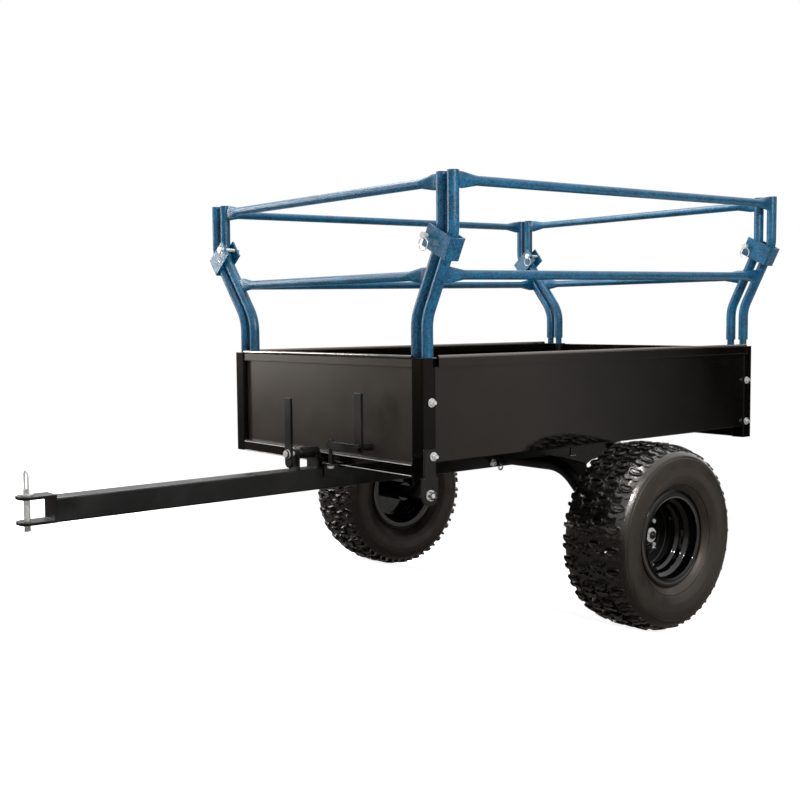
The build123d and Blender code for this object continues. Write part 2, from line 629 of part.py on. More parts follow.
def rack_post(x, y, front, side):
    """One post: a foot in its socket, then upright, leaning out and upright again at the top."""
    z = shoulder_z[front]
    out = y + side * flare[side]
    with BuildLine() as route:
        FilletPolyline((x, y, z), (x, y, z + LOWER_BEND), (x, out, z + UPPER_BEND), (x, out, z + RACK_HEIGHT),
                       radius=(RACK_BEND_RADIUS, RACK_BEND_RADIUS))
    with BuildSketch(Plane.XY.offset(z)) as section:
        with Locations((x, y)):
            Circle(POST_RADIUS)
    sweep(section.sketch, path=route.line)
    rod((x, y, z + CUT_SPARE), (x, y, z - FOOT_LENGTH), FOOT_RADIUS)


def rack_rail(start, end, thin_way):
    """A tube between two posts, its ends pressed flat and tall where they meet the posts."""
    run = (Vector(*end) - Vector(*start)).normalized()
    rod(Vector(*start) + run * PADDLE_LENGTH, Vector(*end) - run * PADDLE_LENGTH, RAIL_RADIUS)
    for place, inward in ((Vector(*start), run), (Vector(*end), run * -1)):
        round_plane = Plane(origin=place + inward * PADDLE_LENGTH, x_dir=thin_way, z_dir=inward)
        flat_plane = Plane(origin=place + inward * PADDLE_FLAT, x_dir=thin_way, z_dir=inward)
        with BuildSketch(round_plane) as round_end:
            Circle(RAIL_RADIUS)
        with BuildSketch(flat_plane) as flat_end:
            Ellipse(PADDLE_THICKNESS / 2, PADDLE_HEIGHT / 2)
        loft([flat_end.sketch, round_end.sketch])
        extrude(flat_end.sketch, amount=-PADDLE_FLAT)


for side, name in SIDES:
    with BuildPart() as rack:
        for front, end in ENDS:
            rack_post(front * side_foot_x, side * side_foot_y, front, side)
        for height, share in RAILS:
            y = side * (side_foot_y + share * flare[side])
            rack_rail((side_foot_x, y, shoulder_z[1] + height), (-side_foot_x, y, shoulder_z[-1] + height),
                      (0, 1, 0))
    keep(rack, "rack_" + name)

for front, end in ENDS:
    x = front * end_foot_x
    with BuildPart() as rack:
        for side, name in SIDES:
            rack_post(x, side * end_foot_y, front, side)
        for height, share in RAILS:
            z = shoulder_z[front] + height
            rack_rail((x, end_foot_y + share * flare[1], z), (x, -end_foot_y - share * flare[-1], z), (1, 0, 0))
    keep(rack, "rack_" + end)

# Rack clips: a U of bent plate round both posts of a corner, where they lean, closed by a lock pin
clip_height = {1: LEFT_CLIP_HEIGHT, -1: RIGHT_CLIP_HEIGHT}
clip_low_x = min(side_foot_x, end_foot_x) - POST_RADIUS - SEAT_GAP
clip_high_x = max(side_foot_x, end_foot_x) + POST_RADIUS + SEAT_GAP
for front, end in ENDS:
    for side, name in SIDES:
        lean = atan2(flare[side], UPPER_BEND - LOWER_BEND)
        share = (clip_height[side] - LOWER_BEND) / (UPPER_BEND - LOWER_BEND)
        clip_y = side * (side_foot_y + share * flare[side])
        along = (0, side * sin(lean), cos(lean))
        plane = Plane(origin=(0, clip_y, shoulder_z[front] + clip_height[side]), x_dir=(1, 0, 0), z_dir=along)
        web_inside = POST_RADIUS + SEAT_GAP
        web_outside = web_inside + CLIP_PLATE
        open_end = web_outside - CLIP_WIDTH
        with BuildPart(plane) as clip:
            block(sides(clip_low_x - CLIP_PLATE, clip_high_x + CLIP_PLATE, front),
                  sides(web_outside, open_end, side), (-CLIP_HEIGHT / 2, CLIP_HEIGHT / 2))
            upright_edges = clip.edges().filter_by(Axis((0, 0, 0), along))
            fillet(upright_edges.group_by(Axis.Y)[-1 if side > 0 else 0], radius=CLIP_CORNER)
            block(sides(clip_low_x, clip_high_x, front), sides(web_inside, open_end - CUT_SPARE, side),
                  (-CLIP_HEIGHT, CLIP_HEIGHT), mode=Mode.SUBTRACT)
            with Locations((front * (clip_low_x + clip_high_x) / 2, side * (open_end + LOCK_PIN_INSET), 0)):
                Cylinder(LOCK_PIN_RADIUS, clip_high_x - clip_low_x + 2 * CLIP_PLATE + LOCK_PIN_SPARE,
                         rotation=(0, 90, 0))
        keep(clip, "rack_clip_" + end + "_" + name)

# Tongue latch: a plunger in a sleeve on a post, a spring against a plate, and the pull lever on its end
latch_z = tongue_top + LATCH_HEIGHT
lever_x = half_length + LEVER_REACH
lever_back = lever_x - LEVER_THICKNESS / 2
plate_back = lever_back - LATCH_PLATE - 2 * RUNNING_GAP + CUT_SPARE
sleeve_front = plate_back - SPRING_ROOM
sleeve_back = half_length + 2 * RUNNING_GAP - CUT_SPARE
with BuildPart() as latch_bracket:
    block((plate_back, plate_back + LATCH_PLATE), (-LATCH_WIDTH / 2, LATCH_WIDTH / 2),
          (tongue_top, latch_z + 2 * RUNNING_GAP))
    rod((sleeve_back, 0, latch_z), (sleeve_front, 0, latch_z), GUIDE_RADIUS)
    block((sleeve_back + LATCH_POST, sleeve_back + 2 * LATCH_POST), (-LATCH_WIDTH / 2, LATCH_WIDTH / 2),
          (tongue_top, latch_z))
    rod((sleeve_back - CUT_SPARE, 0, latch_z), (lever_x, 0, latch_z), PLUNGER_RADIUS + SEAT_GAP,
        mode=Mode.SUBTRACT)
keep(latch_bracket, "latch_bracket")

with BuildPart() as plunger:
    rod((sleeve_back, 0, latch_z), (lever_back, 0, latch_z), PLUNGER_RADIUS)
keep(plunger, "latch_plunger")

spring_length = plate_back - sleeve_front - 2 * SPRING_WIRE - 2 * SEAT_GAP
with BuildPart() as spring:
    with BuildLine() as coil:
        Helix(pitch=spring_length / SPRING_TURNS, height=spring_length, radius=SPRING_RADIUS,
              center=(sleeve_front + SPRING_WIRE + SEAT_GAP, 0, latch_z), direction=(1, 0, 0))
    with BuildSketch(Plane(origin=coil.line @ 0, z_dir=coil.line % 0)):
        Circle(SPRING_WIRE)
    sweep(path=coil.line, is_frenet=True)
keep(spring, "latch_spring")

lever_end_z = tongue_top + RUNNING_GAP + LEVER_WIDTH / 2
with BuildPart() as lever:
    with BuildSketch(Plane.YZ.offset(lever_back)):
        with Locations((0, lever_end_z)):
            Circle(LEVER_WIDTH / 2)
        with Locations((0, lever_end_z + (LEVER_LENGTH - LEVER_WIDTH / 2) / 2)):
            Rectangle(LEVER_WIDTH, LEVER_LENGTH - LEVER_WIDTH / 2)
    extrude(amount=LEVER_THICKNESS)
    rod((lever_x, 0, latch_z), (lever_x + LEVER_THICKNESS / 2 + LEVER_BOLT_HEAD, 0, latch_z), LEVER_BOLT_RADIUS)
keep(lever, "latch_lever")

# Bed rest: a saddle over the tongue that the front sill lands on, with a stop ahead of it
rest_back = half_length - SILL_WIDTH
stop_back = half_length + RUNNING_GAP
with BuildPart() as rest:
    block((rest_back, half_length), (-TONGUE / 2, TONGUE / 2), (tongue_top, sill_z - SEAT_GAP))
    block((half_length, stop_back + REST_PLATE), (-TONGUE / 2, TONGUE / 2),
          (tongue_top, tongue_top + REST_PLATE))
    block((stop_back, stop_back + REST_PLATE), (-TONGUE / 2, TONGUE / 2), (tongue_top, tongue_top + REST_STOP))
    for side, name in SIDES:
        block((stop_back + REST_PLATE - REST_LENGTH, stop_back + REST_PLATE),
              sides(TONGUE / 2, TONGUE / 2 + REST_PLATE, side), (tongue_top - REST_DEPTH, sill_z - SEAT_GAP))
keep(rest, "bed_rest")

# Swivel lever: an L of flat bar on a bolt in the front panel, its round hook end above the pin
swivel_z = sill_top + SWIVEL_LEVER_RISE
with BuildPart() as swivel_lever:
    with BuildSketch(Plane.YZ.offset(swivel_x)):
        with Locations((SWIVEL_LEVER_Y, swivel_z + SWIVEL_LEVER_LENGTH / 2)):
            Rectangle(LEVER_WIDTH, SWIVEL_LEVER_LENGTH)
        with Locations((SWIVEL_LEVER_Y, swivel_z), (swivel_pin_y, swivel_z)):
            Circle(LEVER_WIDTH / 2)
        with Locations((SWIVEL_LEVER_Y - SWIVEL_ARM_LENGTH / 2, swivel_z - LEVER_WIDTH / 8)):
            Rectangle(SWIVEL_ARM_LENGTH, LEVER_WIDTH * 3 / 4)
    extrude(amount=LEVER_THICKNESS)
    rod((panel_outer_x, SWIVEL_LEVER_Y, swivel_z),
        (swivel_x + LEVER_THICKNESS + LEVER_BOLT_HEAD, SWIVEL_LEVER_Y, swivel_z), SWIVEL_BOLT_RADIUS)
keep(swivel_lever, "swivel_lever")

# Hanger at the front left corner, with its bolt
hanger_x = half_length - HANGER_INSET
hanger_eye_z = sill_z - HANGER_DROP + HANGER_WIDTH / 2
lower_bolt_z = sill_top + LOWER_BOLT_RISE
neck_top = lower_bolt_z + HANGER_NECK_WIDTH / 2
with BuildPart() as hanger:
    with BuildSketch(Plane.XZ.offset(-half_width)):
        with Locations((hanger_x, (hanger_eye_z + neck_top) / 2)):
            Rectangle(HANGER_NECK_WIDTH, neck_top - hanger_eye_z)
        with Locations((hanger_x, (hanger_eye_z + sill_z) / 2)):
            Rectangle(HANGER_WIDTH, sill_z - hanger_eye_z)
        with Locations((hanger_x, hanger_eye_z)):
            Circle(HANGER_WIDTH / 2)
    extrude(amount=-HANGER_PLATE)
    rod((hanger_x, half_width, hanger_eye_z),
        (hanger_x, half_width + HANGER_PLATE + POST_BOLT_HEAD, hanger_eye_z), POST_BOLT_RADIUS)
keep(hanger, "corner_hanger")

# Bolts of the corner posts, and the pin with its nut under the swivel lever
with BuildPart() as post_bolts:
    for front, end in ENDS:
        for side, name in SIDES:
            for z in (lower_bolt_z, sill_top + UPPER_BOLT_RISE):
                on_hanger = front > 0 and side > 0 and z == lower_bolt_z
                base = half_width + (HANGER_PLATE if on_hanger else 0)
                x = front * (half_length - POST_BOLT_INSET)
                rod((x, side * base, z), (x, side * (base + POST_BOLT_HEAD), z), POST_BOLT_RADIUS)
    pin_foot = (swivel_x + LEVER_THICKNESS / 2, swivel_pin_y)
    rod((*pin_foot, tab_z - SWIVEL_NUT), (*pin_foot, swivel_z - LEVER_WIDTH / 2 - SEAT_GAP), SWIVEL_PIN_RADIUS)
    rod((*pin_foot, tab_z - SWIVEL_NUT), (*pin_foot, tab_z), SWIVEL_NUT_RADIUS)
keep(post_bolts, "post_bolts")

# Parked pose: nose down about the axle until the front edge of the hitch pin's end meets the floor
tip_x = pin_x + HITCH_PIN_RADIUS
tip_z = pin_bottom - WHEEL_RADIUS
park_angle = degrees(atan2(tip_z, tip_x) + asin(WHEEL_RADIUS / hypot(tip_x, tip_z)))
about_axle = (Location((0, 0, WHEEL_RADIUS)) * Location((0, 0, 0), (0, park_angle, 0))
              * Location((0, 0, -WHEEL_RADIUS)))
boxes = [(about_axle * piece).bounding_box() for piece in finished.values()]
low_x = min(box.min.X for box in boxes)
high_x = max(box.max.X for box in boxes)
parked = Location((-(low_x + high_x) / 2, 0, 0)) * about_axle

for label, piece in finished.items():
    placed = parked * piece
    placed.label = label
    export_step(placed, "parts/" + label + ".step")

print("pieces", len(finished), "park angle", round(park_angle, 3), "length", round(high_x - low_x, 1),
      "shift", round(-(low_x + high_x) / 2, 2))
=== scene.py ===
import json
from math import atan2, cos, pi, radians, sin, tau

import bpy
from mathutils import Matrix, Vector


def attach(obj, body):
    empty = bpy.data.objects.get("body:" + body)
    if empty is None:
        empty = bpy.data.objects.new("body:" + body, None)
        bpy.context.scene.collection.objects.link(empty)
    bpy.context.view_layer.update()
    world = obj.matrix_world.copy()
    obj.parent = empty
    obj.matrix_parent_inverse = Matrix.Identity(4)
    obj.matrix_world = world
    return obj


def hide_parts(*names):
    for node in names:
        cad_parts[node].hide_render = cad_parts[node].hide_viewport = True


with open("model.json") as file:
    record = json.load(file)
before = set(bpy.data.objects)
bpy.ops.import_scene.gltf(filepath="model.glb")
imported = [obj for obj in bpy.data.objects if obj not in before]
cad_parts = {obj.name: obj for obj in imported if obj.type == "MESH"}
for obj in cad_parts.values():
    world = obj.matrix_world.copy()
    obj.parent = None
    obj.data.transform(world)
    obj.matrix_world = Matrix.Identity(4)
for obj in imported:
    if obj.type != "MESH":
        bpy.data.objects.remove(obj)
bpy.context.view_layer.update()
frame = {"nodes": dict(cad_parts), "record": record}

# Parking: the trailer stands nose down on its hitch pin, turned about its axle. Sizes and places below are
# of the level trailer, in metres: X forward from the axle, Y to the left and Z up from the floor. The
# tailgate slides straight up from the bed, so its axis gives how far the trailer is turned.
joints = {joint["name"]: joint for joint in frame["record"]["behaviour"]["joints"]}
slide = joints["tailgate_lift"]["axis"]
nose_down = atan2(slide[0], slide[2])
axle = Vector(joints["wheel_left_spin"]["pos_m"])
WHEEL_Y = axle.y
axle.y = 0.0
WHEEL_RADIUS = axle.z
parked = (Matrix.Translation(axle) @ Matrix.Rotation(nose_down, 4, "Y")
          @ Matrix.Translation((0, 0, -WHEEL_RADIUS)))

# Camera: stands ahead and to the left of the level trailer, a little above it and looking slightly
# down. It is parked with the trailer, so the picture shows the bed level.
CAMERA_PLACE = Vector((2.1523, 2.1598, 0.7462))
CAMERA_YAW = radians(-129.65)
CAMERA_PITCH = radians(-4.16)
CAMERA_ROLL = radians(-0.48)
FOCAL_PIXELS = 1117.3
PHOTO_PIXELS = 800
SENSOR_MM = 36
FAR_CLIP = 100

forward = Vector((cos(CAMERA_PITCH) * cos(CAMERA_YAW), cos(CAMERA_PITCH) * sin(CAMERA_YAW),
                  sin(CAMERA_PITCH)))
level_right = Vector((sin(CAMERA_YAW), -cos(CAMERA_YAW), 0))
level_up = level_right.cross(forward)
right = cos(CAMERA_ROLL) * level_right + sin(CAMERA_ROLL) * level_up
up = cos(CAMERA_ROLL) * level_up - sin(CAMERA_ROLL) * level_right
facing = Matrix((right, up, -forward)).transposed().to_4x4()
camera_data = bpy.data.cameras.new("camera")
camera_data.sensor_width = SENSOR_MM
camera_data.lens = FOCAL_PIXELS * SENSOR_MM / PHOTO_PIXELS
camera_data.clip_end = FAR_CLIP
camera = bpy.data.objects.new("camera", camera_data)
bpy.context.collection.objects.link(camera)
camera.matrix_world = parked @ Matrix.Translation(CAMERA_PLACE) @ facing
bpy.context.scene.camera = camera

# Studio surround: white to the eye. In the glossy paint it is dim at the horizon and bright overhead, and
# darker to the left rear of the trailer and ahead of it on the right, so the panels fade as the photo's
# do and the tubes show a bright top and a dark flank. It lights the trailer softly all round.
HORIZON = 0.56
HORIZON_RISE = 0.05
OVERHEAD = 1.3
OVERHEAD_RISE = 0.75
DARK_SIDES = (
    # bearing in degrees, left of the nose; cosine where it starts; where it is darkest; strength there
    (160, 0.915, 0.968, 0.02),
    (-35, 0.86, 1.0, 0.35),
)
SOFT_FILL = 0.26


def add_node(tree, kind, settings=None, links=None):
    """One node with its settings, and the sockets that feed it."""
    node = tree.nodes.new(kind)
    for name, value in (settings or {}).items():
        if name in node.inputs:
            node.inputs[name].default_value = value
        else:
            setattr(node, name, value)
    for name, source in (links or {}).items():
        tree.links.new(source, node.inputs[name])
    return node


world = bpy.data.worlds.new("white_studio")
bpy.context.scene.world = world
world.use_nodes = True
tree = world.node_tree
tree.nodes.clear()
path = add_node(tree, "ShaderNodeLightPath")
place = add_node(tree, "ShaderNodeTexCoord")
height = add_node(tree, "ShaderNodeSeparateXYZ", links={"Vector": place.outputs["Generated"]})
rise = add_node(tree, "ShaderNodeMapRange",
                {"From Min": HORIZON_RISE, "From Max": OVERHEAD_RISE, "To Min": HORIZON, "To Max": OVERHEAD},
                {"Value": height.outputs["Z"]})
reflected = rise.outputs[0]
for bearing, start, darkest, strength in DARK_SIDES:
    toward = parked.to_3x3() @ Vector((cos(radians(bearing)), sin(radians(bearing)), 0))
    facing_it = add_node(tree, "ShaderNodeVectorMath", {"operation": "DOT_PRODUCT"})
    tree.links.new(place.outputs["Generated"], facing_it.inputs[0])
    facing_it.inputs[1].default_value = toward
    fade = add_node(tree, "ShaderNodeMapRange",
                    {"From Min": start, "From Max": darkest, "To Min": 1.0, "To Max": strength},
                    {"Value": facing_it.outputs["Value"]})
    both = add_node(tree, "ShaderNodeMath", {"operation": "MULTIPLY"})
    tree.links.new(reflected, both.inputs[0])
    tree.links.new(fade.outputs[0], both.inputs[1])
    reflected = both.outputs[0]
in_paint = add_node(tree, "ShaderNodeMix", {"A": SOFT_FILL},
                    {"Factor": path.outputs["Is Glossy Ray"], "B": reflected})
seen = add_node(tree, "ShaderNodeMix", {"B": 1.0},
                {"Factor": path.outputs["Is Camera Ray"], "A": in_paint.outputs[0]})
background = add_node(tree, "ShaderNodeBackground", {"Color": (1, 1, 1, 1)}, {"Strength": seen.outputs[0]})
add_node(tree, "ShaderNodeOutputWorld", links={"Surface": background.outputs[0]})

# Floor: a pale sheet that glows for the eye, so it is white right up to the surround and keeps only faint
# shadows where the tyres and the hitch pin stand. In gloss it glows instead with a warm grey light of its
# own, dimmed near the trailer as painted shade and to the rear, as a dark room behind the lights would be.
FLOOR_SIZE = 30
FLOOR_DROP = 0.0005
FLOOR_GLOW = 0.9
RAMP_REAR = -9.0
RAMP_FRONT = 1.0
MIRRORED = (
    # share of the way from the ramp's rear to its front, strength
    (0.10, 0.02), (0.34, 1.0), (0.55, 1.0), (0.85, 0.5),
)
NEAR_REACH = 1.2
FAR_REACH = 3.3
NEAR_STRENGTH = 0.22


def linear(hex_colour):
    """An sRGB hex colour as the linear colour that a node takes."""
    parts = [int(hex_colour[i:i + 2], 16) / 255 for i in (1, 3, 5)]
    return [c / 12.92 if c <= 0.04045 else ((c + 0.055) / 1.055) ** 2.4 for c in parts] + [1.0]


def new_material(name):
    """An empty material with its tree of nodes."""
    material = bpy.data.materials.new(name)
    material.use_nodes = True
    material.node_tree.nodes.clear()
    return material, material.node_tree


bpy.ops.object.select_all(action="DESELECT")
bpy.ops.mesh.primitive_plane_add(size=FLOOR_SIZE, location=(0, 0, -FLOOR_DROP))
floor = bpy.context.object
floor.name = "floor"
material, tree = new_material("pale_studio_floor")
path = add_node(tree, "ShaderNodeLightPath")
place = add_node(tree, "ShaderNodeTexCoord")
spot = add_node(tree, "ShaderNodeSeparateXYZ", links={"Vector": place.outputs["Object"]})
along = add_node(tree, "ShaderNodeMapRange", {"From Min": RAMP_REAR, "From Max": RAMP_FRONT},
                 {"Value": spot.outputs["X"]})
rear = add_node(tree, "ShaderNodeValToRGB", links={"Fac": along.outputs[0]})
while len(rear.color_ramp.elements) < len(MIRRORED):
    rear.color_ramp.elements.new(1.0)
for stop, (share, strength) in zip(rear.color_ramp.elements, MIRRORED):
    stop.position = share
    stop.color = (strength, strength, strength, 1)
reach = add_node(tree, "ShaderNodeVectorMath", {"operation": "LENGTH"})
tree.links.new(place.outputs["Object"], reach.inputs[0])
# painted shade: the floor's glow in gloss is dimmed near the trailer
near = add_node(tree, "ShaderNodeMapRange",
                {"From Min": NEAR_REACH, "From Max": FAR_REACH, "To Min": NEAR_STRENGTH, "To Max": 1.0},
                {"Value": reach.outputs["Value"]})
dimmed = add_node(tree, "ShaderNodeMath", {"operation": "MULTIPLY"})
tree.links.new(rear.outputs["Color"], dimmed.inputs[0])
tree.links.new(near.outputs[0], dimmed.inputs[1])
lift = add_node(tree, "ShaderNodeMapRange", {"To Min": 0.0, "To Max": FLOOR_GLOW},
                {"Value": path.outputs["Is Camera Ray"]})
glow = add_node(tree, "ShaderNodeEmission", {"Color": (1, 1, 1, 1)}, {"Strength": lift.outputs[0]})
paint = add_node(tree, "ShaderNodeBsdfDiffuse", {"Color": linear("#f2f2f2")})
both = add_node(tree, "ShaderNodeAddShader")
tree.links.new(paint.outputs[0], both.inputs[0])
tree.links.new(glow.outputs[0], both.inputs[1])
mirrored = add_node(tree, "ShaderNodeEmission", {"Color": linear("#fff2e6")}, {"Strength": dimmed.outputs[0]})
which = add_node(tree, "ShaderNodeMixShader", links={"Fac": path.outputs["Is Glossy Ray"]})
tree.links.new(both.outputs[0], which.inputs[1])
tree.links.new(mirrored.outputs[0], which.inputs[2])
add_node(tree, "ShaderNodeOutputMaterial", links={"Surface": which.outputs[0]})
floor.data.materials.append(material)

# Lamps: a large softbox overhead, which makes the tops of the rails bright, a tall strip ahead on the
# right that draws highlights on the tread and the posts, and a small softbox on the left for the rims
# and bolts. All three aim at the middle of the trailer.
LAMPS = (
    # name, place over the level trailer, width, height, power
    ("top_softbox", (0.4, -0.8, 2.9), 1.7, 1.7, 95),
    ("front_strip", (1.5, -2.2, 1.5), 0.25, 1.8, 30),
    ("side_softbox", (0.9, 2.6, 1.9), 0.22, 0.22, 50),
)
LAMP_AIM = Vector((0, 0, 0.5))
for name, place, width, height, power in LAMPS:
    light = bpy.data.lights.new(name, "AREA")
    light.shape = "RECTANGLE"
    light.size = width
    light.size_y = height
    light.energy = power
    lamp = bpy.data.objects.new(name, light)
    bpy.context.collection.objects.link(lamp)
    lamp.location = parked @ Vector(place)
    lamp.rotation_euler = (parked @ LAMP_AIM - lamp.location).to_track_quat("-Z", "Y").to_euler()
bpy.context.scene.view_settings.view_transform = "Standard"

# Tongue, running gear and levers: square tube, plate, flat bar and bent pipe, welded and bolted together
# under satin black powder. It shows as a soft sheen with fine grain, rounded edges and a grey bloom of
# dust. The patterns' sizes are the real ones, in millimetres.
SATIN_GRAIN_MM = 2.38
SATIN_DUST_MM = 71.4
EDGE_ROUND = 0.0015
SATIN_NODES = (
    "tongue_tube", "hitch_clevis", "axle_tube", "axle_leg_left", "axle_leg_right", "subframe_arm_left",
    "subframe_arm_right", "turntable_plate", "subframe_crossbar", "subframe_front_bar", "hinge_brackets",
    "bed_rails", "bed_crossmembers", "bed_rest", "latch_bracket", "latch_spring", "latch_lever",
    "swivel_lever", "corner_hanger", "stake_pockets",
)


def finish_nodes(material, names):
    """Gives solids of the frame their finish."""
    for name in names:
        slots = frame["nodes"][name].data.materials
        slots.clear()
        slots.append(material)


satin_black_coat, tree = new_material("satin_black_coat")
place = add_node(tree, "ShaderNodeTexCoord")
edge = add_node(tree, "ShaderNodeBevel", {"samples": 4, "Radius": EDGE_ROUND})
grain = add_node(tree, "ShaderNodeTexNoise", {"Scale": 1000 / SATIN_GRAIN_MM, "Detail": 3.0},
                 {"Vector": place.outputs["Object"]})
bump = add_node(tree, "ShaderNodeBump", {"Strength": 0.15, "Distance": 0.001},
                {"Height": grain.outputs["Fac"], "Normal": edge.outputs[0]})
wear = add_node(tree, "ShaderNodeTexNoise", {"Scale": 1000 / SATIN_DUST_MM, "Detail": 6.0},
                {"Vector": place.outputs["Object"]})
tone = add_node(tree, "ShaderNodeValToRGB", links={"Fac": wear.outputs["Fac"]})
tone.color_ramp.elements[0].position = 0.45
tone.color_ramp.elements[0].color = linear("#050505")
tone.color_ramp.elements[1].position = 0.8
tone.color_ramp.elements[1].color = linear("#171615")
haze = add_node(tree, "ShaderNodeMapRange",
                {"From Min": 0.3, "From Max": 0.75, "To Min": 0.24, "To Max": 0.5},
                {"Value": wear.outputs["Fac"]})
coat = add_node(tree, "ShaderNodeBsdfPrincipled", {"IOR": 1.45},
                {"Base Color": tone.outputs["Color"], "Roughness": haze.outputs[0],
                 "Normal": bump.outputs[0]})
add_node(tree, "ShaderNodeOutputMaterial", links={"Surface": coat.outputs[0]})
finish_nodes(satin_black_coat, SATIN_NODES)

# Pins and bolts of the solids: turned and headed steel, dipped in bright zinc, pushed or screwed through
# the plates. Zinc plate shows as pale, slightly clouded metal.
ZINC_CLOUD_MM = 5.56
ZINC_ROUND = 0.0006
ZINC_NODES = ("hitch_pin", "king_bolt", "hinge_bolts", "latch_plunger", "post_bolts")
zinc_plate, tree = new_material("zinc_plate")
place = add_node(tree, "ShaderNodeTexCoord")
cloud = add_node(tree, "ShaderNodeTexNoise", {"Scale": 1000 / ZINC_CLOUD_MM, "Detail": 4.0},
                 {"Vector": place.outputs["Object"]})
tone = add_node(tree, "ShaderNodeValToRGB", links={"Fac": cloud.outputs["Fac"]})
tone.color_ramp.elements[0].color = linear("#a9a9a6")
tone.color_ramp.elements[1].color = linear("#efefec")
haze = add_node(tree, "ShaderNodeMapRange", {"To Min": 0.2, "To Max": 0.45}, {"Value": cloud.outputs["Fac"]})
edge = add_node(tree, "ShaderNodeBevel", {"samples": 4, "Radius": ZINC_ROUND})
coat = add_node(tree, "ShaderNodeBsdfPrincipled", {"Metallic": 0.45},
                {"Base Color": tone.outputs["Color"], "Roughness": haze.outputs[0],
                 "Normal": edge.outputs[0]})
add_node(tree, "ShaderNodeOutputMaterial", links={"Surface": coat.outputs[0]})
finish_nodes(zinc_plate, ZINC_NODES)

# Tyres: new carbon-black rubber with a dressing, moulded and seated on the rims. The carcass is a spun
# section. The tread has 27 rows of four cupped knobs, each with nested arcs on its top and a wavy bar
# behind it, and the sidewall is smooth but for two ribs.
SPIN_STEPS = 96
TREAD_ROWS = 27
TYRE_SECTION = (
    # distance from the tyre's middle, radius
    (0.0545, 0.0985), (0.0668, 0.0985), (0.0668, 0.1165), (0.0740, 0.1240), (0.0830, 0.1360),
    (0.0895, 0.1520), (0.0920, 0.1700), (0.0912, 0.1850), (0.0880, 0.1975), (0.0800, 0.2068),
    (0.0640, 0.2112), (0.0300, 0.2128),
)
TYRE_LINING = ((0.050, 0.189), (0.040, 0.194))
CARCASS_ROUND = 0.0015
SMOOTH_BELOW = radians(32)


def only(*pieces):
    """Selects these pieces and nothing else."""
    bpy.ops.object.select_all(action="DESELECT")
    for piece in pieces:
        piece.select_set(True)
    bpy.context.view_layer.objects.active = pieces[0]


def joined(pieces, name):
    """Joins pieces into one, with their places and turns taken into its mesh."""
    only(*pieces)
    bpy.ops.object.transform_apply(location=True, rotation=True, scale=True)
    bpy.ops.object.join()
    bpy.context.object.name = name
    return bpy.context.object


def copy_of(piece, matrix):
    """A copy of a piece with its own mesh, moved by a matrix."""
    twin = piece.copy()
    twin.data = piece.data.copy()
    bpy.context.collection.objects.link(twin)
    twin.matrix_world = matrix @ piece.matrix_world
    return twin


def face_outwards(piece):
    """Turns every face of a closed piece outwards."""
    only(piece)
    bpy.ops.object.mode_set(mode="EDIT")
    bpy.ops.mesh.select_all(action="SELECT")
    bpy.ops.mesh.normals_make_consistent(inside=False)
    bpy.ops.object.mode_set(mode="OBJECT")


def spun(points, round_off):
    """A ring spun about the Y axis from a closed outline of (y, radius) points with rounded corners."""
    bpy.ops.mesh.primitive_plane_add(size=0.001, location=(0, 0, 0))
    piece = bpy.context.object
    bpy.ops.object.mode_set(mode="EDIT")
    bpy.ops.mesh.select_all(action="SELECT")
    bpy.ops.mesh.merge(type="CENTER")
    bpy.ops.transform.translate(value=(0, points[0][0], points[0][1]))
    for before, after in zip(points, points[1:]):
        step = (0, after[0] - before[0], after[1] - before[1])
        bpy.ops.mesh.extrude_vertices_move(TRANSFORM_OT_translate={"value": step})
    bpy.ops.mesh.select_all(action="SELECT")
    bpy.ops.mesh.edge_face_add()
    bpy.ops.mesh.delete(type="ONLY_FACE")
    bpy.ops.mesh.select_all(action="SELECT")
    bpy.ops.mesh.bevel(offset=round_off, segments=3, affect="VERTICES")
    bpy.ops.mesh.select_all(action="SELECT")
    bpy.ops.mesh.spin(steps=SPIN_STEPS, angle=tau, center=(0, 0, 0), axis=(0, 1, 0))
    bpy.ops.mesh.select_all(action="SELECT")
    bpy.ops.mesh.remove_doubles(threshold=0.00002)
    bpy.ops.mesh.normals_make_consistent(inside=False)
    bpy.ops.object.mode_set(mode="OBJECT")
    return piece


def dress(piece, name, material, body, node=None):
    """Parks a finished piece with the trailer, gives it its finish and ties it to its body."""
    piece.name = name
    piece.data.name = name
    piece.matrix_world = parked @ piece.matrix_world
    only(piece)
    bpy.ops.object.transform_apply(location=True, rotation=True, scale=True)
    bpy.ops.object.shade_smooth_by_angle(angle=SMOOTH_BELOW)
    piece.data.materials.clear()
    piece.data.materials.append(material)
    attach(piece, body)
    if node:
        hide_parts(node)


section = list(TYRE_SECTION) + [(-y, r) for y, r in reversed(TYRE_SECTION)]
section += [(-y, r) for y, r in TYRE_LINING] + list(reversed(TYRE_LINING))
carcass = spun(section, CARCASS_ROUND)

# A knob is a flattened disc, cut off square at the front, with two arcs sunk and raised on its top
KNOB_WIDTH = 0.034
KNOB_LENGTH = 0.025
KNOB_HEIGHT = 0.017
KNOB_CUT = 0.0050
ARC_WIDTH = 0.0026
ARC_DEPTH = 0.0034
LUG_ROUND = 0.0008
bpy.ops.mesh.primitive_cylinder_add(vertices=24, radius=KNOB_WIDTH / 2, depth=KNOB_HEIGHT)
knob = bpy.context.object
knob.scale = (KNOB_LENGTH / KNOB_WIDTH, 1, 1)
bpy.ops.object.transform_apply(location=True, rotation=True, scale=True)
bpy.ops.object.mode_set(mode="EDIT")
bpy.ops.mesh.select_all(action="SELECT")
bpy.ops.mesh.bisect(plane_co=(KNOB_CUT, 0, 0), plane_no=(1, 0, 0), use_fill=True, clear_outer=True)
bpy.ops.mesh.select_all(action="DESELECT")
bpy.ops.object.mode_set(mode="OBJECT")
for face in knob.data.polygons:
    face.select = face.normal.z > 0.9
bpy.ops.object.mode_set(mode="EDIT")
bpy.ops.mesh.select_mode(type="FACE")
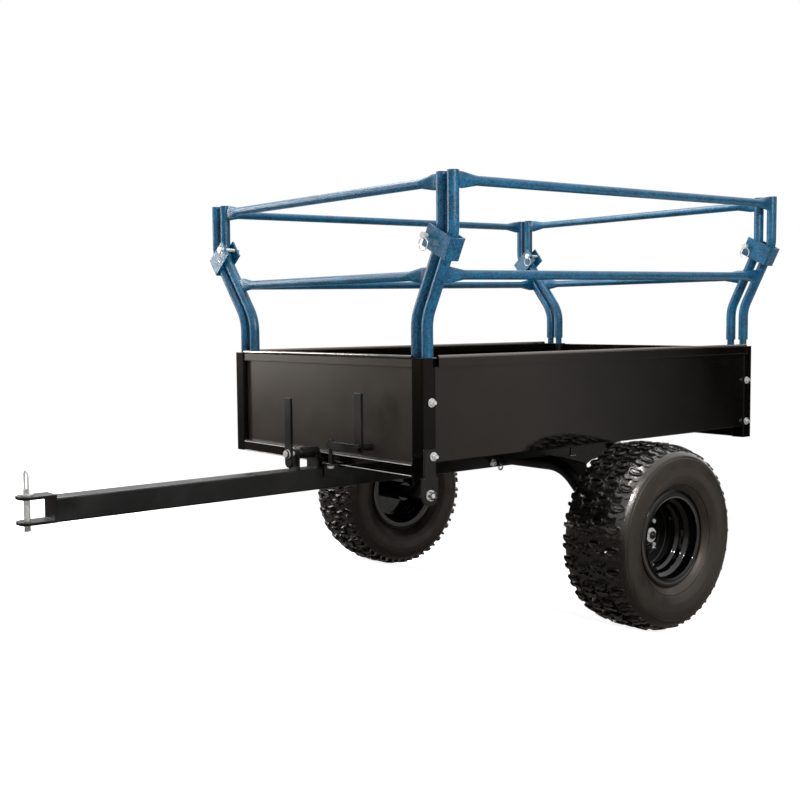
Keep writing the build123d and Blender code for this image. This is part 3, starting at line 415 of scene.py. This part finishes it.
for step in (-ARC_DEPTH, ARC_DEPTH):
    bpy.ops.mesh.inset(thickness=ARC_WIDTH, depth=0)
    bpy.ops.mesh.extrude_region_move(TRANSFORM_OT_translate={"value": (0, 0, step)})
bpy.ops.mesh.select_all(action="SELECT")
bpy.ops.mesh.bevel(offset=LUG_ROUND, segments=1, affect="EDGES")
bpy.ops.object.mode_set(mode="OBJECT")

# A bar is a block whose quarter points are pulled back, so it waves
BAR_LENGTH = 0.0075
BAR_WIDTH = 0.037
BAR_WAVE = 0.0045
BAR_DROP = 0.0015
BAR_CUTS = 3
bpy.ops.mesh.primitive_cube_add(size=1)
bar = bpy.context.object
bar.scale = (BAR_LENGTH, BAR_WIDTH, KNOB_HEIGHT)
bpy.ops.object.transform_apply(location=True, rotation=True, scale=True)
bpy.ops.object.mode_set(mode="EDIT")
bpy.ops.mesh.select_all(action="SELECT")
bpy.ops.mesh.subdivide(number_cuts=BAR_CUTS)
bpy.ops.mesh.select_mode(type="VERT")
bpy.ops.mesh.select_all(action="DESELECT")
bpy.ops.object.mode_set(mode="OBJECT")
for corner in bar.data.vertices:
    corner.select = round(abs(corner.co.y) / (BAR_WIDTH / (BAR_CUTS + 1))) == 1
bpy.ops.object.mode_set(mode="EDIT")
bpy.ops.transform.translate(value=(-BAR_WAVE, 0, 0))
bpy.ops.object.mode_set(mode="OBJECT")

COLUMNS = (
    # distance out from the middle, radius of the tops, phase in rows, tilt over the shoulder in degrees
    (0.0200, 0.2235, 0.11, 0),
    (-0.0200, 0.2235, -0.11, 0),
    (0.0610, 0.2165, -0.12, 17),
    (-0.0620, 0.2195, 0.12, 11),
)
KNOB_PHASE = 0.13
BAR_PHASE = -0.28
lugs = []
for row in range(TREAD_ROWS):
    for y, top, phase, tilt in COLUMNS:
        for lug, share, drop in ((knob, KNOB_PHASE, 0), (bar, BAR_PHASE, BAR_DROP)):
            angle = tau * (row + phase + share) / TREAD_ROWS
            # The lug's own X runs up the front of the tyre, and its Z out from the axle
            turn = (Matrix.Rotation(-angle, 4, "Y") @ Matrix.Rotation(pi / 2, 4, "Y")
                    @ Matrix.Rotation(pi, 4, "Z"))
            lean = Matrix.Rotation(radians(tilt if y > 0 else -tilt), 4, "X")
            spot = Matrix.Translation((0, -y, top - drop - KNOB_HEIGHT / 2))
            lugs.append(copy_of(lug, turn @ spot @ lean))
bpy.data.objects.remove(knob)
bpy.data.objects.remove(bar)

RIB_ROUND = 0.0011
RIBS = (
    # distance from the tyre's middle, radius
    (0.0808, 0.1325), (0.0898, 0.1905),
)
ribs = []
for y, radius in RIBS:
    bpy.ops.mesh.primitive_torus_add(major_segments=SPIN_STEPS, minor_segments=8, major_radius=radius,
                                     minor_radius=RIB_ROUND, rotation=(pi / 2, 0, 0), location=(0, y, 0))
    ribs.append(bpy.context.object)
tyre = joined([carcass] + lugs + ribs, "tyre")

# Tyre rubber shows as near black with a wet sheen on the tread, and as a browner satin on the sidewall,
# both with fine mould grain. The distance from the axle tells tread from sidewall.
TYRE_WET_MM = 45.5
TYRE_GRAIN_MM = 5.88
LUG_EDGE_ROUND = 0.0024
WALL_RADIUS = 0.192
TREAD_RADIUS = 0.206
tyre_rubber, tree = new_material("tyre_rubber")
place = add_node(tree, "ShaderNodeTexCoord")
wet = add_node(tree, "ShaderNodeTexNoise", {"Scale": 1000 / TYRE_WET_MM, "Detail": 3.0},
               {"Vector": place.outputs["Object"]})
from_axle = add_node(tree, "ShaderNodeVectorMath", {"operation": "SUBTRACT"})
tree.links.new(place.outputs["Object"], from_axle.inputs[0])
from_axle.inputs[1].default_value = axle
across = add_node(tree, "ShaderNodeVectorMath", {"operation": "MULTIPLY"})
tree.links.new(from_axle.outputs[0], across.inputs[0])
across.inputs[1].default_value = (1, 0, 1)
radius = add_node(tree, "ShaderNodeVectorMath", {"operation": "LENGTH"})
tree.links.new(across.outputs[0], radius.inputs[0])
on_tread = add_node(tree, "ShaderNodeMapRange", {"From Min": WALL_RADIUS, "From Max": TREAD_RADIUS},
                    {"Value": radius.outputs["Value"]})
grain = add_node(tree, "ShaderNodeTexNoise", {"Scale": 1000 / TYRE_GRAIN_MM, "Detail": 5.0},
                 {"Vector": place.outputs["Object"]})
edge = add_node(tree, "ShaderNodeBevel", {"samples": 4, "Radius": LUG_EDGE_ROUND})
rough = add_node(tree, "ShaderNodeMapRange", {"To Min": 0.18, "To Max": 0.75}, {"Value": on_tread.outputs[0]})
bump = add_node(tree, "ShaderNodeBump", {"Distance": 0.0014},
                {"Height": grain.outputs["Fac"], "Normal": edge.outputs[0], "Strength": rough.outputs[0]})
satin = add_node(tree, "ShaderNodeMapRange",
                 {"From Min": 0.35, "From Max": 0.65, "To Min": 0.36, "To Max": 0.5},
                 {"Value": wet.outputs["Fac"]})
gloss = add_node(tree, "ShaderNodeMapRange",
                 {"From Min": 0.35, "From Max": 0.65, "To Min": 0.09, "To Max": 0.19},
                 {"Value": wet.outputs["Fac"]})
haze = add_node(tree, "ShaderNodeMix",
                links={"Factor": on_tread.outputs[0], "A": satin.outputs[0], "B": gloss.outputs[0]})
wall = add_node(tree, "ShaderNodeValToRGB", links={"Fac": wet.outputs["Fac"]})
wall.color_ramp.elements[0].color = linear("#15120f")
wall.color_ramp.elements[1].color = linear("#28231e")
tone = add_node(tree, "ShaderNodeMix", {"data_type": "RGBA"}, {"Factor": on_tread.outputs[0]})
tree.links.new(wall.outputs["Color"], tone.inputs[6])
tone.inputs[7].default_value = linear("#0a0908")
coat = add_node(tree, "ShaderNodeBsdfPrincipled",
                {"IOR": 1.55, "Specular Tint": linear("#fff4ea"), "Coat Roughness": 0.07},
                {"Base Color": tone.outputs[2], "Roughness": haze.outputs[0], "Normal": bump.outputs[0],
                 "Coat Weight": on_tread.outputs[0]})
add_node(tree, "ShaderNodeOutputMaterial", links={"Surface": coat.outputs[0]})

finish_nodes(tyre_rubber, ("tyre_left", "tyre_right"))
for side, name in ((1, "left"), (-1, "right")):
    wheel = Matrix.Translation((0, side * WHEEL_Y, WHEEL_RADIUS)) @ Matrix.Scale(side, 4, (0, 1, 0))
    piece = copy_of(tyre, wheel)
    only(piece)
    bpy.ops.object.transform_apply(location=True, rotation=True, scale=True)
    face_outwards(piece)
    dress(piece, "treaded_tyre_" + name, tyre_rubber, "wheel_" + name, "tyre_" + name)
bpy.data.objects.remove(tyre)

# Rims: two pressed steel halves with a rolled flange and a stepped barrel, and a flat disc between them
# with a pressed ring, four small bolts, a valve and the hub tube through it. Rim enamel is deep gloss
# black, as wet as glass, and shows the faint rings of the pressing.
RIM_EDGE = 0.0705
RIM_WALL = (
    # depth from the rim's edge, radius of the outside
    (0.0, 0.1155), (0.004, 0.1155), (0.0045, 0.098), (0.025, 0.098), (0.031, 0.088), (0.046, 0.0872),
    (0.051, 0.0795),
)
RIM_MOUTH = 0.0955
RIM_SHEET = 0.003
RIM_STEP_IN = 0.0015
RIM_ROUND = 0.0016
DISC_Y = -0.0075
DISC_RADIUS = 0.0785
DISC_SHEET = 0.0045
HUB_TUBE = 0.027
HUB_DEEP = 0.067
HUB_OUT = 0.0004
FLANGE_IN = 0.0035
ROLLS = (
    # place across the rim, radius, radius of the roll, steps round the rim, steps round the roll
    (RIM_EDGE - FLANGE_IN, 0.1125, 0.0034, SPIN_STEPS, 12),
    (FLANGE_IN - RIM_EDGE, 0.1125, 0.0034, SPIN_STEPS, 12),
    (DISC_Y, 0.0500, 0.0018, 64, 10),
    (DISC_Y, 0.0760, 0.0026, 64, 10),
    (DISC_Y, HUB_TUBE, 0.0022, 48, 8),
)
VALVE_RADIUS = 0.0035
VALVE_LENGTH = 0.020
VALVE_PLACE = (0.030, DISC_Y + 0.008, 0.064)

outside = [(RIM_EDGE - depth, radius) for depth, radius in RIM_WALL]
outside += [(-y, radius) for y, radius in reversed(outside)]
inside = [(RIM_EDGE, RIM_MOUTH)]
inside += [(RIM_EDGE - depth + RIM_STEP_IN, radius - RIM_SHEET) for depth, radius in RIM_WALL[3:]]
inside += [(-y, radius) for y, radius in reversed(inside)]
parts = [spun(outside + list(reversed(inside)), RIM_ROUND)]
for y, radius, roll, steps, roll_steps in ROLLS:
    bpy.ops.mesh.primitive_torus_add(location=(0, y, 0), rotation=(pi / 2, 0, 0), major_segments=steps,
                                     minor_segments=roll_steps, major_radius=radius, minor_radius=roll)
    parts.append(bpy.context.object)
bpy.ops.mesh.primitive_cylinder_add(vertices=64, radius=DISC_RADIUS, depth=DISC_SHEET,
                                    location=(0, DISC_Y - DISC_SHEET / 2, 0), rotation=(pi / 2, 0, 0))
parts.append(bpy.context.object)
bpy.ops.mesh.primitive_cylinder_add(vertices=40, radius=HUB_TUBE, depth=HUB_DEEP, rotation=(pi / 2, 0, 0),
                                    location=(0, DISC_Y + HUB_OUT - HUB_DEEP / 2, 0))
parts.append(bpy.context.object)
bpy.ops.mesh.primitive_cylinder_add(vertices=16, radius=VALVE_RADIUS, depth=VALVE_LENGTH,
                                    location=VALVE_PLACE, rotation=(pi / 2, 0, 0))
parts.append(bpy.context.object)
rim = joined(parts, "rim")
face_outwards(rim)

DISC_BOLTS = 4
BOLT_CIRCLE = 0.040
DISC_BOLT_RADIUS = 0.0052
DISC_BOLT_HEIGHT = 0.004
bolts = []
for number in range(DISC_BOLTS):
    angle = tau * (number + 0.5) / DISC_BOLTS
    spot = (BOLT_CIRCLE * cos(angle), DISC_Y + DISC_BOLT_HEIGHT / 2, BOLT_CIRCLE * sin(angle))
    bpy.ops.mesh.primitive_cylinder_add(vertices=6, radius=DISC_BOLT_RADIUS, depth=DISC_BOLT_HEIGHT,
                                        rotation=(pi / 2, 0, 0), location=spot)
    bolts.append(bpy.context.object)
disc_bolts = joined(bolts, "disc_bolts")

PRESSING_MM = 16.7
rim_enamel, tree = new_material("rim_enamel")
place = add_node(tree, "ShaderNodeTexCoord")
rings = add_node(tree, "ShaderNodeTexNoise", {"Scale": 1000 / PRESSING_MM, "Detail": 2.0},
                 {"Vector": place.outputs["Object"]})
bump = add_node(tree, "ShaderNodeBump", {"Strength": 0.08, "Distance": 0.001},
                {"Height": rings.outputs["Fac"]})
haze = add_node(tree, "ShaderNodeMapRange", {"To Min": 0.04, "To Max": 0.12}, {"Value": rings.outputs["Fac"]})
coat = add_node(tree, "ShaderNodeBsdfPrincipled", {"Base Color": linear("#060505"), "IOR": 1.55},
                {"Roughness": haze.outputs[0], "Normal": bump.outputs[0]})
add_node(tree, "ShaderNodeOutputMaterial", links={"Surface": coat.outputs[0]})

finish_nodes(rim_enamel, ("rim_left", "rim_right"))
for side, name in ((1, "left"), (-1, "right")):
    wheel = (Matrix.Translation((0, side * WHEEL_Y, WHEEL_RADIUS))
             @ Matrix.Rotation(0 if side > 0 else pi, 4, "Z"))
    body = "wheel_" + name
    dress(copy_of(rim, wheel), "enamelled_rim_" + name, rim_enamel, body, "rim_" + name)
    dress(copy_of(disc_bolts, wheel), "disc_bolts_" + name, zinc_plate, body)
bpy.data.objects.remove(rim)
bpy.data.objects.remove(disc_bolts)

# Spindle washers: a zinc washer and hex nut on each end of the axle, over the hub, and a dark domed cap
# pressed onto the nut.
WASHER_Y = DISC_Y + 0.013
WASHER_STACK = (
    # radius, height of its foot, height of its top, sides
    (0.0172, 0, 0.0034, 40),
    (0.0125, 0.0034, 0.0055, 6),
)
CAP_RADIUS = 0.0075
CAP_SQUASH = 0.45


def stacked(rows, name):
    """Round and six-sided pieces stacked along Z from such rows, joined into one."""
    parts = []
    for radius, low, high, sides in rows:
        bpy.ops.mesh.primitive_cylinder_add(vertices=sides, radius=radius, depth=high - low,
                                            location=(0, 0, (low + high) / 2))
        parts.append(bpy.context.object)
    return joined(parts, name)


for side, name in ((1, "left"), (-1, "right")):
    spot = Matrix.Translation((0, side * (WHEEL_Y + WASHER_Y), WHEEL_RADIUS))
    washer = stacked(WASHER_STACK, "washer")
    outwards = Matrix.Rotation(-side * pi / 2, 4, "X")
    dress(copy_of(washer, spot @ outwards), "spindle_washer_" + name, zinc_plate, "chassis")
    bpy.data.objects.remove(washer)
    cap_y = side * (WHEEL_Y + WASHER_Y + WASHER_STACK[-1][2])
    bpy.ops.mesh.primitive_uv_sphere_add(segments=24, ring_count=12, radius=CAP_RADIUS,
                                         location=(0, cap_y, WHEEL_RADIUS))
    cap = bpy.context.object
    cap.scale = (1, CAP_SQUASH, 1)
    dress(cap, "spindle_cap_" + name, satin_black_coat, "chassis")

# Bed panels: folded steel sheet, bolted at the corner posts, under smooth baked polyester powder. It shows
# as deep warm black that mirrors the studio faintly, with soft orange peel, rounded bright edges and thin
# patches of dust.
PEEL_MM = 3.85
DUST_MM = 200
black_powder_coat, tree = new_material("black_powder_coat")
place = add_node(tree, "ShaderNodeTexCoord")
edge = add_node(tree, "ShaderNodeBevel", {"samples": 4, "Radius": EDGE_ROUND})
peel = add_node(tree, "ShaderNodeTexNoise", {"Scale": 1000 / PEEL_MM, "Detail": 2.0},
                {"Vector": place.outputs["Object"]})
bump = add_node(tree, "ShaderNodeBump", {"Strength": 0.045, "Distance": 0.001},
                {"Height": peel.outputs["Fac"], "Normal": edge.outputs[0]})
dust = add_node(tree, "ShaderNodeTexNoise", {"Scale": 1000 / DUST_MM, "Detail": 7.0, "Roughness": 0.7},
                {"Vector": place.outputs["Object"]})
tone = add_node(tree, "ShaderNodeValToRGB", links={"Fac": dust.outputs["Fac"]})
tone.color_ramp.elements[0].position = 0.4
tone.color_ramp.elements[0].color = linear("#040403")
tone.color_ramp.elements[1].position = 0.75
tone.color_ramp.elements[1].color = linear("#100e0d")
haze = add_node(tree, "ShaderNodeMapRange",
                {"From Min": 0.35, "From Max": 0.7, "To Min": 0.04, "To Max": 0.11},
                {"Value": dust.outputs["Fac"]})
coat = add_node(tree, "ShaderNodeBsdfPrincipled", {"IOR": 1.5, "Specular Tint": linear("#fff0e4")},
                {"Base Color": tone.outputs["Color"], "Roughness": haze.outputs[0],
                 "Normal": bump.outputs[0]})
add_node(tree, "ShaderNodeOutputMaterial", links={"Surface": coat.outputs[0]})
finish_nodes(black_powder_coat, ("bed_floor", "bed_side_left", "bed_side_right", "bed_sills", "tailgate"))

# Front panel: one big folded sheet between the front posts, in a copy of the bed's powder made rougher, for a
# blurred mirror of the studio and soft orange peel. Its colour is lifted to an even warm brown-black as a
# painted reflection of the white studio.
painted_sheen_panel_coat = black_powder_coat.copy()
painted_sheen_panel_coat.name = "painted_sheen_panel_coat"
for node in painted_sheen_panel_coat.node_tree.nodes:
    if node.type == "MAP_RANGE":
        node.inputs["To Min"].default_value = 0.30
        node.inputs["To Max"].default_value = 0.40
    # painted reflection: the lifted brown-black base stands in for the studio mirrored in the panel
    if node.type == "VALTORGB":
        node.color_ramp.elements[0].color = linear("#27231f")
        node.color_ramp.elements[1].color = linear("#332e29")
finish_nodes(painted_sheen_panel_coat, ("bed_front_panel",))

# Corner posts: folded steel angles that hold the panels, under the same powder, lean and dull. It shows
# as the darkest black of the bed.
LEAN_IOR = 1.27
POST_NODES = ("corner_post_front_left", "corner_post_front_right", "corner_post_rear_left",
              "corner_post_rear_right")
lean_post_coat = black_powder_coat.copy()
lean_post_coat.name = "lean_post_coat"
for node in lean_post_coat.node_tree.nodes:
    if node.type == "BSDF_PRINCIPLED":
        node.inputs["IOR"].default_value = LEAN_IOR
finish_nodes(lean_post_coat, POST_NODES)

# Corner bolts: zinc hex bolts with round washers through the corner posts, their ends standing out. The
# set takes in the zinc nut under the front sill, on the black pin that the bed swivels on.
BOLT_X = 0.586
BED_SIDE = 0.375
LOWER_BOLT_Z = 0.452
UPPER_BOLT_Z = 0.567
HANGER_SHEET = 0.005
CORNER_BOLT_STACK = (
    # radius, height of its foot, height of its top, sides
    (0.0098, 0, 0.0018, 32),
    (0.0076, 0.0018, 0.0064, 6),
    (0.0040, 0.0050, 0.0130, 20),
)
SWIVEL_X = 0.635
SWIVEL_Y = 0.075
SWIVEL_NUT_Z = 0.4054
SWIVEL_NUT_RADIUS = 0.0075
SWIVEL_NUT_HEIGHT = 0.007
SWIVEL_PIN_Z = 0.4280
SWIVEL_PIN_RADIUS = 0.005
SWIVEL_PIN_LENGTH = 0.040
corner_bolt = stacked(CORNER_BOLT_STACK, "corner_bolt")
bolts = []
for front in (1, -1):
    for side in (1, -1):
        for z in (LOWER_BOLT_Z, UPPER_BOLT_Z):
            on_hanger = front > 0 and side > 0 and z == LOWER_BOLT_Z
            face = BED_SIDE + (HANGER_SHEET if on_hanger else 0)
            spot = Matrix.Translation((front * BOLT_X, side * face, z))
            bolts.append(copy_of(corner_bolt, spot @ Matrix.Rotation(-side * pi / 2, 4, "X")))
bpy.data.objects.remove(corner_bolt)
bpy.ops.mesh.primitive_cylinder_add(vertices=6, radius=SWIVEL_NUT_RADIUS, depth=SWIVEL_NUT_HEIGHT,
                                    location=(SWIVEL_X, SWIVEL_Y, SWIVEL_NUT_Z))
bolts.append(bpy.context.object)
dress(joined(bolts, "bolt_set"), "corner_bolts", zinc_plate, "bed", "post_bolts")
bpy.ops.mesh.primitive_cylinder_add(vertices=24, radius=SWIVEL_PIN_RADIUS, depth=SWIVEL_PIN_LENGTH,
                                    location=(SWIVEL_X, SWIVEL_Y, SWIVEL_PIN_Z))
dress(bpy.context.object, "swivel_pin", satin_black_coat, "bed")

# Sill edge highlights: two thin pale zinc strips along the sharp edges of the front sill's folded sheet,
# painted highlights that stand in for the light caught on the edges.
SILL_FACE = 0.611
SILL_HALF = 0.336
SILL_EDGE_Z = (0.4312, 0.4084)
EDGE_WIDTH = 0.0016
parts = []
for z in SILL_EDGE_Z:
    bpy.ops.mesh.primitive_cube_add(size=1, location=(SILL_FACE + EDGE_WIDTH / 4, 0, z))
    bpy.context.object.scale = (EDGE_WIDTH, 2 * SILL_HALF, EDGE_WIDTH)
    parts.append(bpy.context.object)
# the zinc strips are painted highlights along the sill's edges
dress(joined(parts, "sill_edge_highlights"), "sill_edge_highlights", zinc_plate, "bed")

# Top beads: the folded top edges of the front and side panels are rolled round, and the black powder pools
# on them thick and glossy. It shows as black with a bright line where the bead mirrors the lamp overhead.
BEAD_RADIUS = 0.0045
BEAD_Z = 0.6635
FRONT_BEAD_X = 0.6065
SIDE_BEAD_Y = 0.3805
SIDE_BEAD_HALF = 0.572
POOLED_IOR = 2.4
BEADS = (
    # middle, half its length, turn
    ((FRONT_BEAD_X, 0, BEAD_Z), SILL_HALF, (pi / 2, 0, 0)),
    ((0, SIDE_BEAD_Y, BEAD_Z), SIDE_BEAD_HALF, (0, pi / 2, 0)),
    ((0, -SIDE_BEAD_Y, BEAD_Z), SIDE_BEAD_HALF, (0, pi / 2, 0)),
)
rolled_edge_coat = black_powder_coat.copy()
rolled_edge_coat.name = "rolled_edge_coat"
for node in rolled_edge_coat.node_tree.nodes:
    if node.type == "BSDF_PRINCIPLED":
        node.inputs["IOR"].default_value = POOLED_IOR
parts = []
for middle, half, turn in BEADS:
    bpy.ops.mesh.primitive_cylinder_add(vertices=32, radius=BEAD_RADIUS, depth=2 * half, location=middle,
                                        rotation=turn)
    parts.append(bpy.context.object)
dress(joined(parts, "top_beads"), "top_beads", rolled_edge_coat, "bed")

# Lever and hanger bolts: hex heads on a washer, with the bolt's end standing out, zinc on the latch lever
# and the hanger's eye and black on the swivel lever.
HANGER_EYE = (0.5950, 0.380, 0.3690)
FACE_BOLTS = (
    # name, body, place of the face, direction it looks, radius of the washer, height, finish, slot
    ("latch_lever_bolt", "chassis", (0.7030, 0, 0.4340), (1, 0, 0), 0.0105, 0.0085,
     zinc_plate, "zinc_plate"),
    ("swivel_lever_bolt", "bed", (0.6380, 0.183, 0.458), (1, 0, 0), 0.0085, 0.0060,
     satin_black_coat, "black_powder_coat"),
    ("hanger_bolt", "bed", HANGER_EYE, (0, 1, 0), 0.0120, 0.0090, zinc_plate, "zinc_plate"),
)
FACE_BOLT_STACK = (
    # share of the washer's radius, share of the height at the foot, at the top, sides
    (1, 0, 0.3, 40), (0.82, 0.3, 1, 6), (0.45, 1, 1.05, 20),
)
for name, body, place, direction, radius, height, material, slot in FACE_BOLTS:
    rows = [(radius * share, height * low, height * high, sides)
            for share, low, high, sides in FACE_BOLT_STACK]
    bolt = stacked(rows, "face_bolt")
    turn = Vector(direction).to_track_quat("Z", "Y").to_matrix().to_4x4()
    dress(copy_of(bolt, Matrix.Translation(place) @ turn), name, material, body)
    bpy.data.objects.remove(bolt)

# Hanger bush: a black turned bush round the hanger's bolt, and the zinc centre pin in it. Both are pressed
# in and stand a little proud of the head.
HANGER_FITTINGS = (
    # name, radius, height, finish, slot
    ("hanger_bush", 0.0084, 0.0094, satin_black_coat, "black_powder_coat"),
    ("hanger_centre", 0.0045, 0.0104, zinc_plate, "zinc_plate"),
)
for name, radius, height, material, slot in HANGER_FITTINGS:
    middle = Vector(HANGER_EYE) + Vector((0, height / 2, 0))
    bpy.ops.mesh.primitive_cylinder_add(vertices=32, radius=radius, depth=height, rotation=(pi / 2, 0, 0),
                                        location=middle)
    dress(bpy.context.object, name, material, "bed")

# Stake rack: bent round tube with welded rails and folded corner clips, its posts dropped into the bed's
# pockets, under coarse blue powder that bakes into small hills. It shows as a deep sea blue with a broken
# sheen on the tops of the rails. Its colour follows the hills, darker in the pits as painted shade and paler
# on the hills as painted highlight, mixed with random paler and darker patches.
HILL_MM = 3.03
PATCH_MM = 41.7
RACK_NODES = ("rack_left", "rack_right", "rack_front", "rack_rear", "rack_clip_front_left",
              "rack_clip_front_right", "rack_clip_rear_left", "rack_clip_rear_right")
blue_texture_coat, tree = new_material("blue_texture_coat")
place = add_node(tree, "ShaderNodeTexCoord")
hills = add_node(tree, "ShaderNodeTexNoise", {"Scale": 1000 / HILL_MM, "Detail": 4.0, "Roughness": 0.6},
                 {"Vector": place.outputs["Object"]})
bump = add_node(tree, "ShaderNodeBump", {"Strength": 0.4, "Distance": 0.0012},
                {"Height": hills.outputs["Fac"]})
patches = add_node(tree, "ShaderNodeTexNoise", {"Scale": 1000 / PATCH_MM, "Detail": 5.0},
                   {"Vector": place.outputs["Object"]})
pit_shade_and_mottle = add_node(tree, "ShaderNodeMix", {"Factor": 0.2},
                  {"A": hills.outputs["Fac"], "B": patches.outputs["Fac"]})
# painted shade and highlight: darker in the pits and paler on the hills, with random patches mixed in
tone = add_node(tree, "ShaderNodeValToRGB", links={"Fac": pit_shade_and_mottle.outputs[0]})
tone.color_ramp.elements[0].position = 0.40
tone.color_ramp.elements[0].color = linear("#04283c")
tone.color_ramp.elements[1].position = 0.62
tone.color_ramp.elements[1].color = linear("#0d6b94")
coat = add_node(tree, "ShaderNodeBsdfPrincipled", {"Roughness": 0.31, "IOR": 1.48},
                {"Base Color": tone.outputs["Color"], "Normal": bump.outputs[0]})
add_node(tree, "ShaderNodeOutputMaterial", links={"Surface": coat.outputs[0]})
finish_nodes(blue_texture_coat, RACK_NODES)

# Lock pins: zinc pins through the open ends of the rack clips, each with a round head at the front and a
# spring wire bail that hangs from it. They fit over the pins of the solids.
PIN_RADIUS = 0.0046
PIN_HALF = 0.0272
HEAD_RADIUS = 0.0075
HEAD_LENGTH = 0.006
BAIL_RADIUS = 0.0135
BAIL_WIRE = 0.0012
BAIL_OUT = 0.0035
BAIL_GRIP = 0.003
LOCK_PINS = (
    # rack's corner, middle of the pin
    ("front_left", (0.5845, 0.3846, 0.9197)),
    ("front_right", (0.5845, -0.4380, 0.9317)),
    ("rear_left", (-0.5845, 0.3846, 0.9374)),
    ("rear_right", (-0.5845, -0.4380, 0.9494)),
)
bpy.ops.mesh.primitive_cylinder_add(vertices=28, radius=PIN_RADIUS, depth=2 * PIN_HALF,
                                    rotation=(0, pi / 2, 0))
parts = [bpy.context.object]
bpy.ops.mesh.primitive_cylinder_add(vertices=32, radius=HEAD_RADIUS, depth=HEAD_LENGTH,
                                    rotation=(0, pi / 2, 0), location=(PIN_HALF + HEAD_LENGTH / 2, 0, 0))
parts.append(bpy.context.object)
bail_place = (PIN_HALF + BAIL_OUT, 0, BAIL_GRIP - HEAD_RADIUS - BAIL_RADIUS)
bpy.ops.mesh.primitive_torus_add(major_segments=40, minor_segments=8, major_radius=BAIL_RADIUS,
                                 minor_radius=BAIL_WIRE, rotation=(0, pi / 2, 0), location=bail_place)
parts.append(bpy.context.object)
lock_pin = joined(parts, "lock_pin")
for name, place in LOCK_PINS:
    dress(copy_of(lock_pin, Matrix.Translation(place)), "lock_pin_" + name, zinc_plate, "bed")
bpy.data.objects.remove(lock_pin)

# Running gear's fasteners at the left: zinc dome bolts on washers, screwed into the arm's front eye and
# over the axle, and the round wire ring of a lynch pin.
ARM_FACE = 0.182
DOME_OUT = 0.002
WASHER_OUT = 0.0005
WASHER_SHEET = 0.003
DOME_BOLTS = (
    # x, z, radius of the head, of the washer
    (0.214, 0.3870, 0.0070, 0.0095),
    (-0.010, 0.3760, 0.0060, 0.0085),
)
RING_PLACE = (0.186, 0.180, 0.3735)
RING_RADIUS = 0.0065
RING_WIRE = 0.0022
parts = []
for x, z, head, washer in DOME_BOLTS:
    bpy.ops.mesh.primitive_uv_sphere_add(segments=20, ring_count=10, radius=head,
                                         location=(x, ARM_FACE + DOME_OUT, z))
    parts.append(bpy.context.object)
    bpy.ops.mesh.primitive_cylinder_add(vertices=28, radius=washer, depth=WASHER_SHEET,
                                        rotation=(pi / 2, 0, 0), location=(x, ARM_FACE + WASHER_OUT, z))
    parts.append(bpy.context.object)
bpy.ops.mesh.primitive_torus_add(major_segments=32, minor_segments=10, major_radius=RING_RADIUS,
                                 minor_radius=RING_WIRE, rotation=(pi / 2, 0, 0), location=RING_PLACE)
parts.append(bpy.context.object)
dress(joined(parts, "gear_bolts"), "gear_bolts", zinc_plate, "chassis")

# Arm strap: a flat steel strap folded round the left arm and welded to it, in satin black, with a pale
# zinc strip along its lower edge as a painted highlight of the edge's bright line.
ARM_MIDDLE = 0.179
ARM_LOW = 0.3815
ARM_HIGH = 0.4095
STRAP_X = -0.080
STRAP_SHEET = 0.0095
STRAP_EDGE = 0.0016
STRAPS = (
    # name, lowest, highest, length, finish, slot
    ("arm_strap", ARM_LOW, ARM_HIGH, 0.018, satin_black_coat, "black_powder_coat"),
    # pale zinc strip: painted highlight along the strap's lower edge
    ("arm_strap_edge_highlight", ARM_LOW - STRAP_EDGE, ARM_LOW, 0.022, zinc_plate, "zinc_plate"),
)
for name, low, high, length, material, slot in STRAPS:
    bpy.ops.mesh.primitive_cube_add(size=1, location=(STRAP_X, ARM_MIDDLE, (low + high) / 2))
    strap = bpy.context.object
    strap.scale = (length, STRAP_SHEET, high - low)
    bpy.ops.object.transform_apply(location=True, rotation=True, scale=True)
    dress(strap, name, material, "chassis")

# Axle gusset: a steel plate in satin black, welded under the left arm to the top of the bent axle leg. Its
# outline is drawn point by point and thickened.
GUSSET = (
    # x, z
    (-0.006, 0.398), (-0.232, 0.398), (-0.214, 0.369), (-0.158, 0.362), (-0.138, 0.352), (-0.030, 0.376),
)
GUSSET_SHEET = 0.004
bpy.ops.mesh.primitive_plane_add(size=0.001)
gusset = bpy.context.object
bpy.ops.object.mode_set(mode="EDIT")
bpy.ops.mesh.select_all(action="SELECT")
bpy.ops.mesh.merge(type="CENTER")
bpy.ops.transform.translate(value=(GUSSET[0][0], ARM_MIDDLE - GUSSET_SHEET / 2, GUSSET[0][1]))
for before, after in zip(GUSSET, GUSSET[1:]):
    step = (after[0] - before[0], 0, after[1] - before[1])
    bpy.ops.mesh.extrude_vertices_move(TRANSFORM_OT_translate={"value": step})
bpy.ops.mesh.select_all(action="SELECT")
bpy.ops.mesh.edge_face_add()
bpy.ops.mesh.select_all(action="SELECT")
bpy.ops.mesh.extrude_region_move(TRANSFORM_OT_translate={"value": (0, GUSSET_SHEET, 0)})
bpy.ops.object.mode_set(mode="OBJECT")
face_outwards(gusset)
dress(gusset, "axle_gusset", satin_black_coat, "chassis")
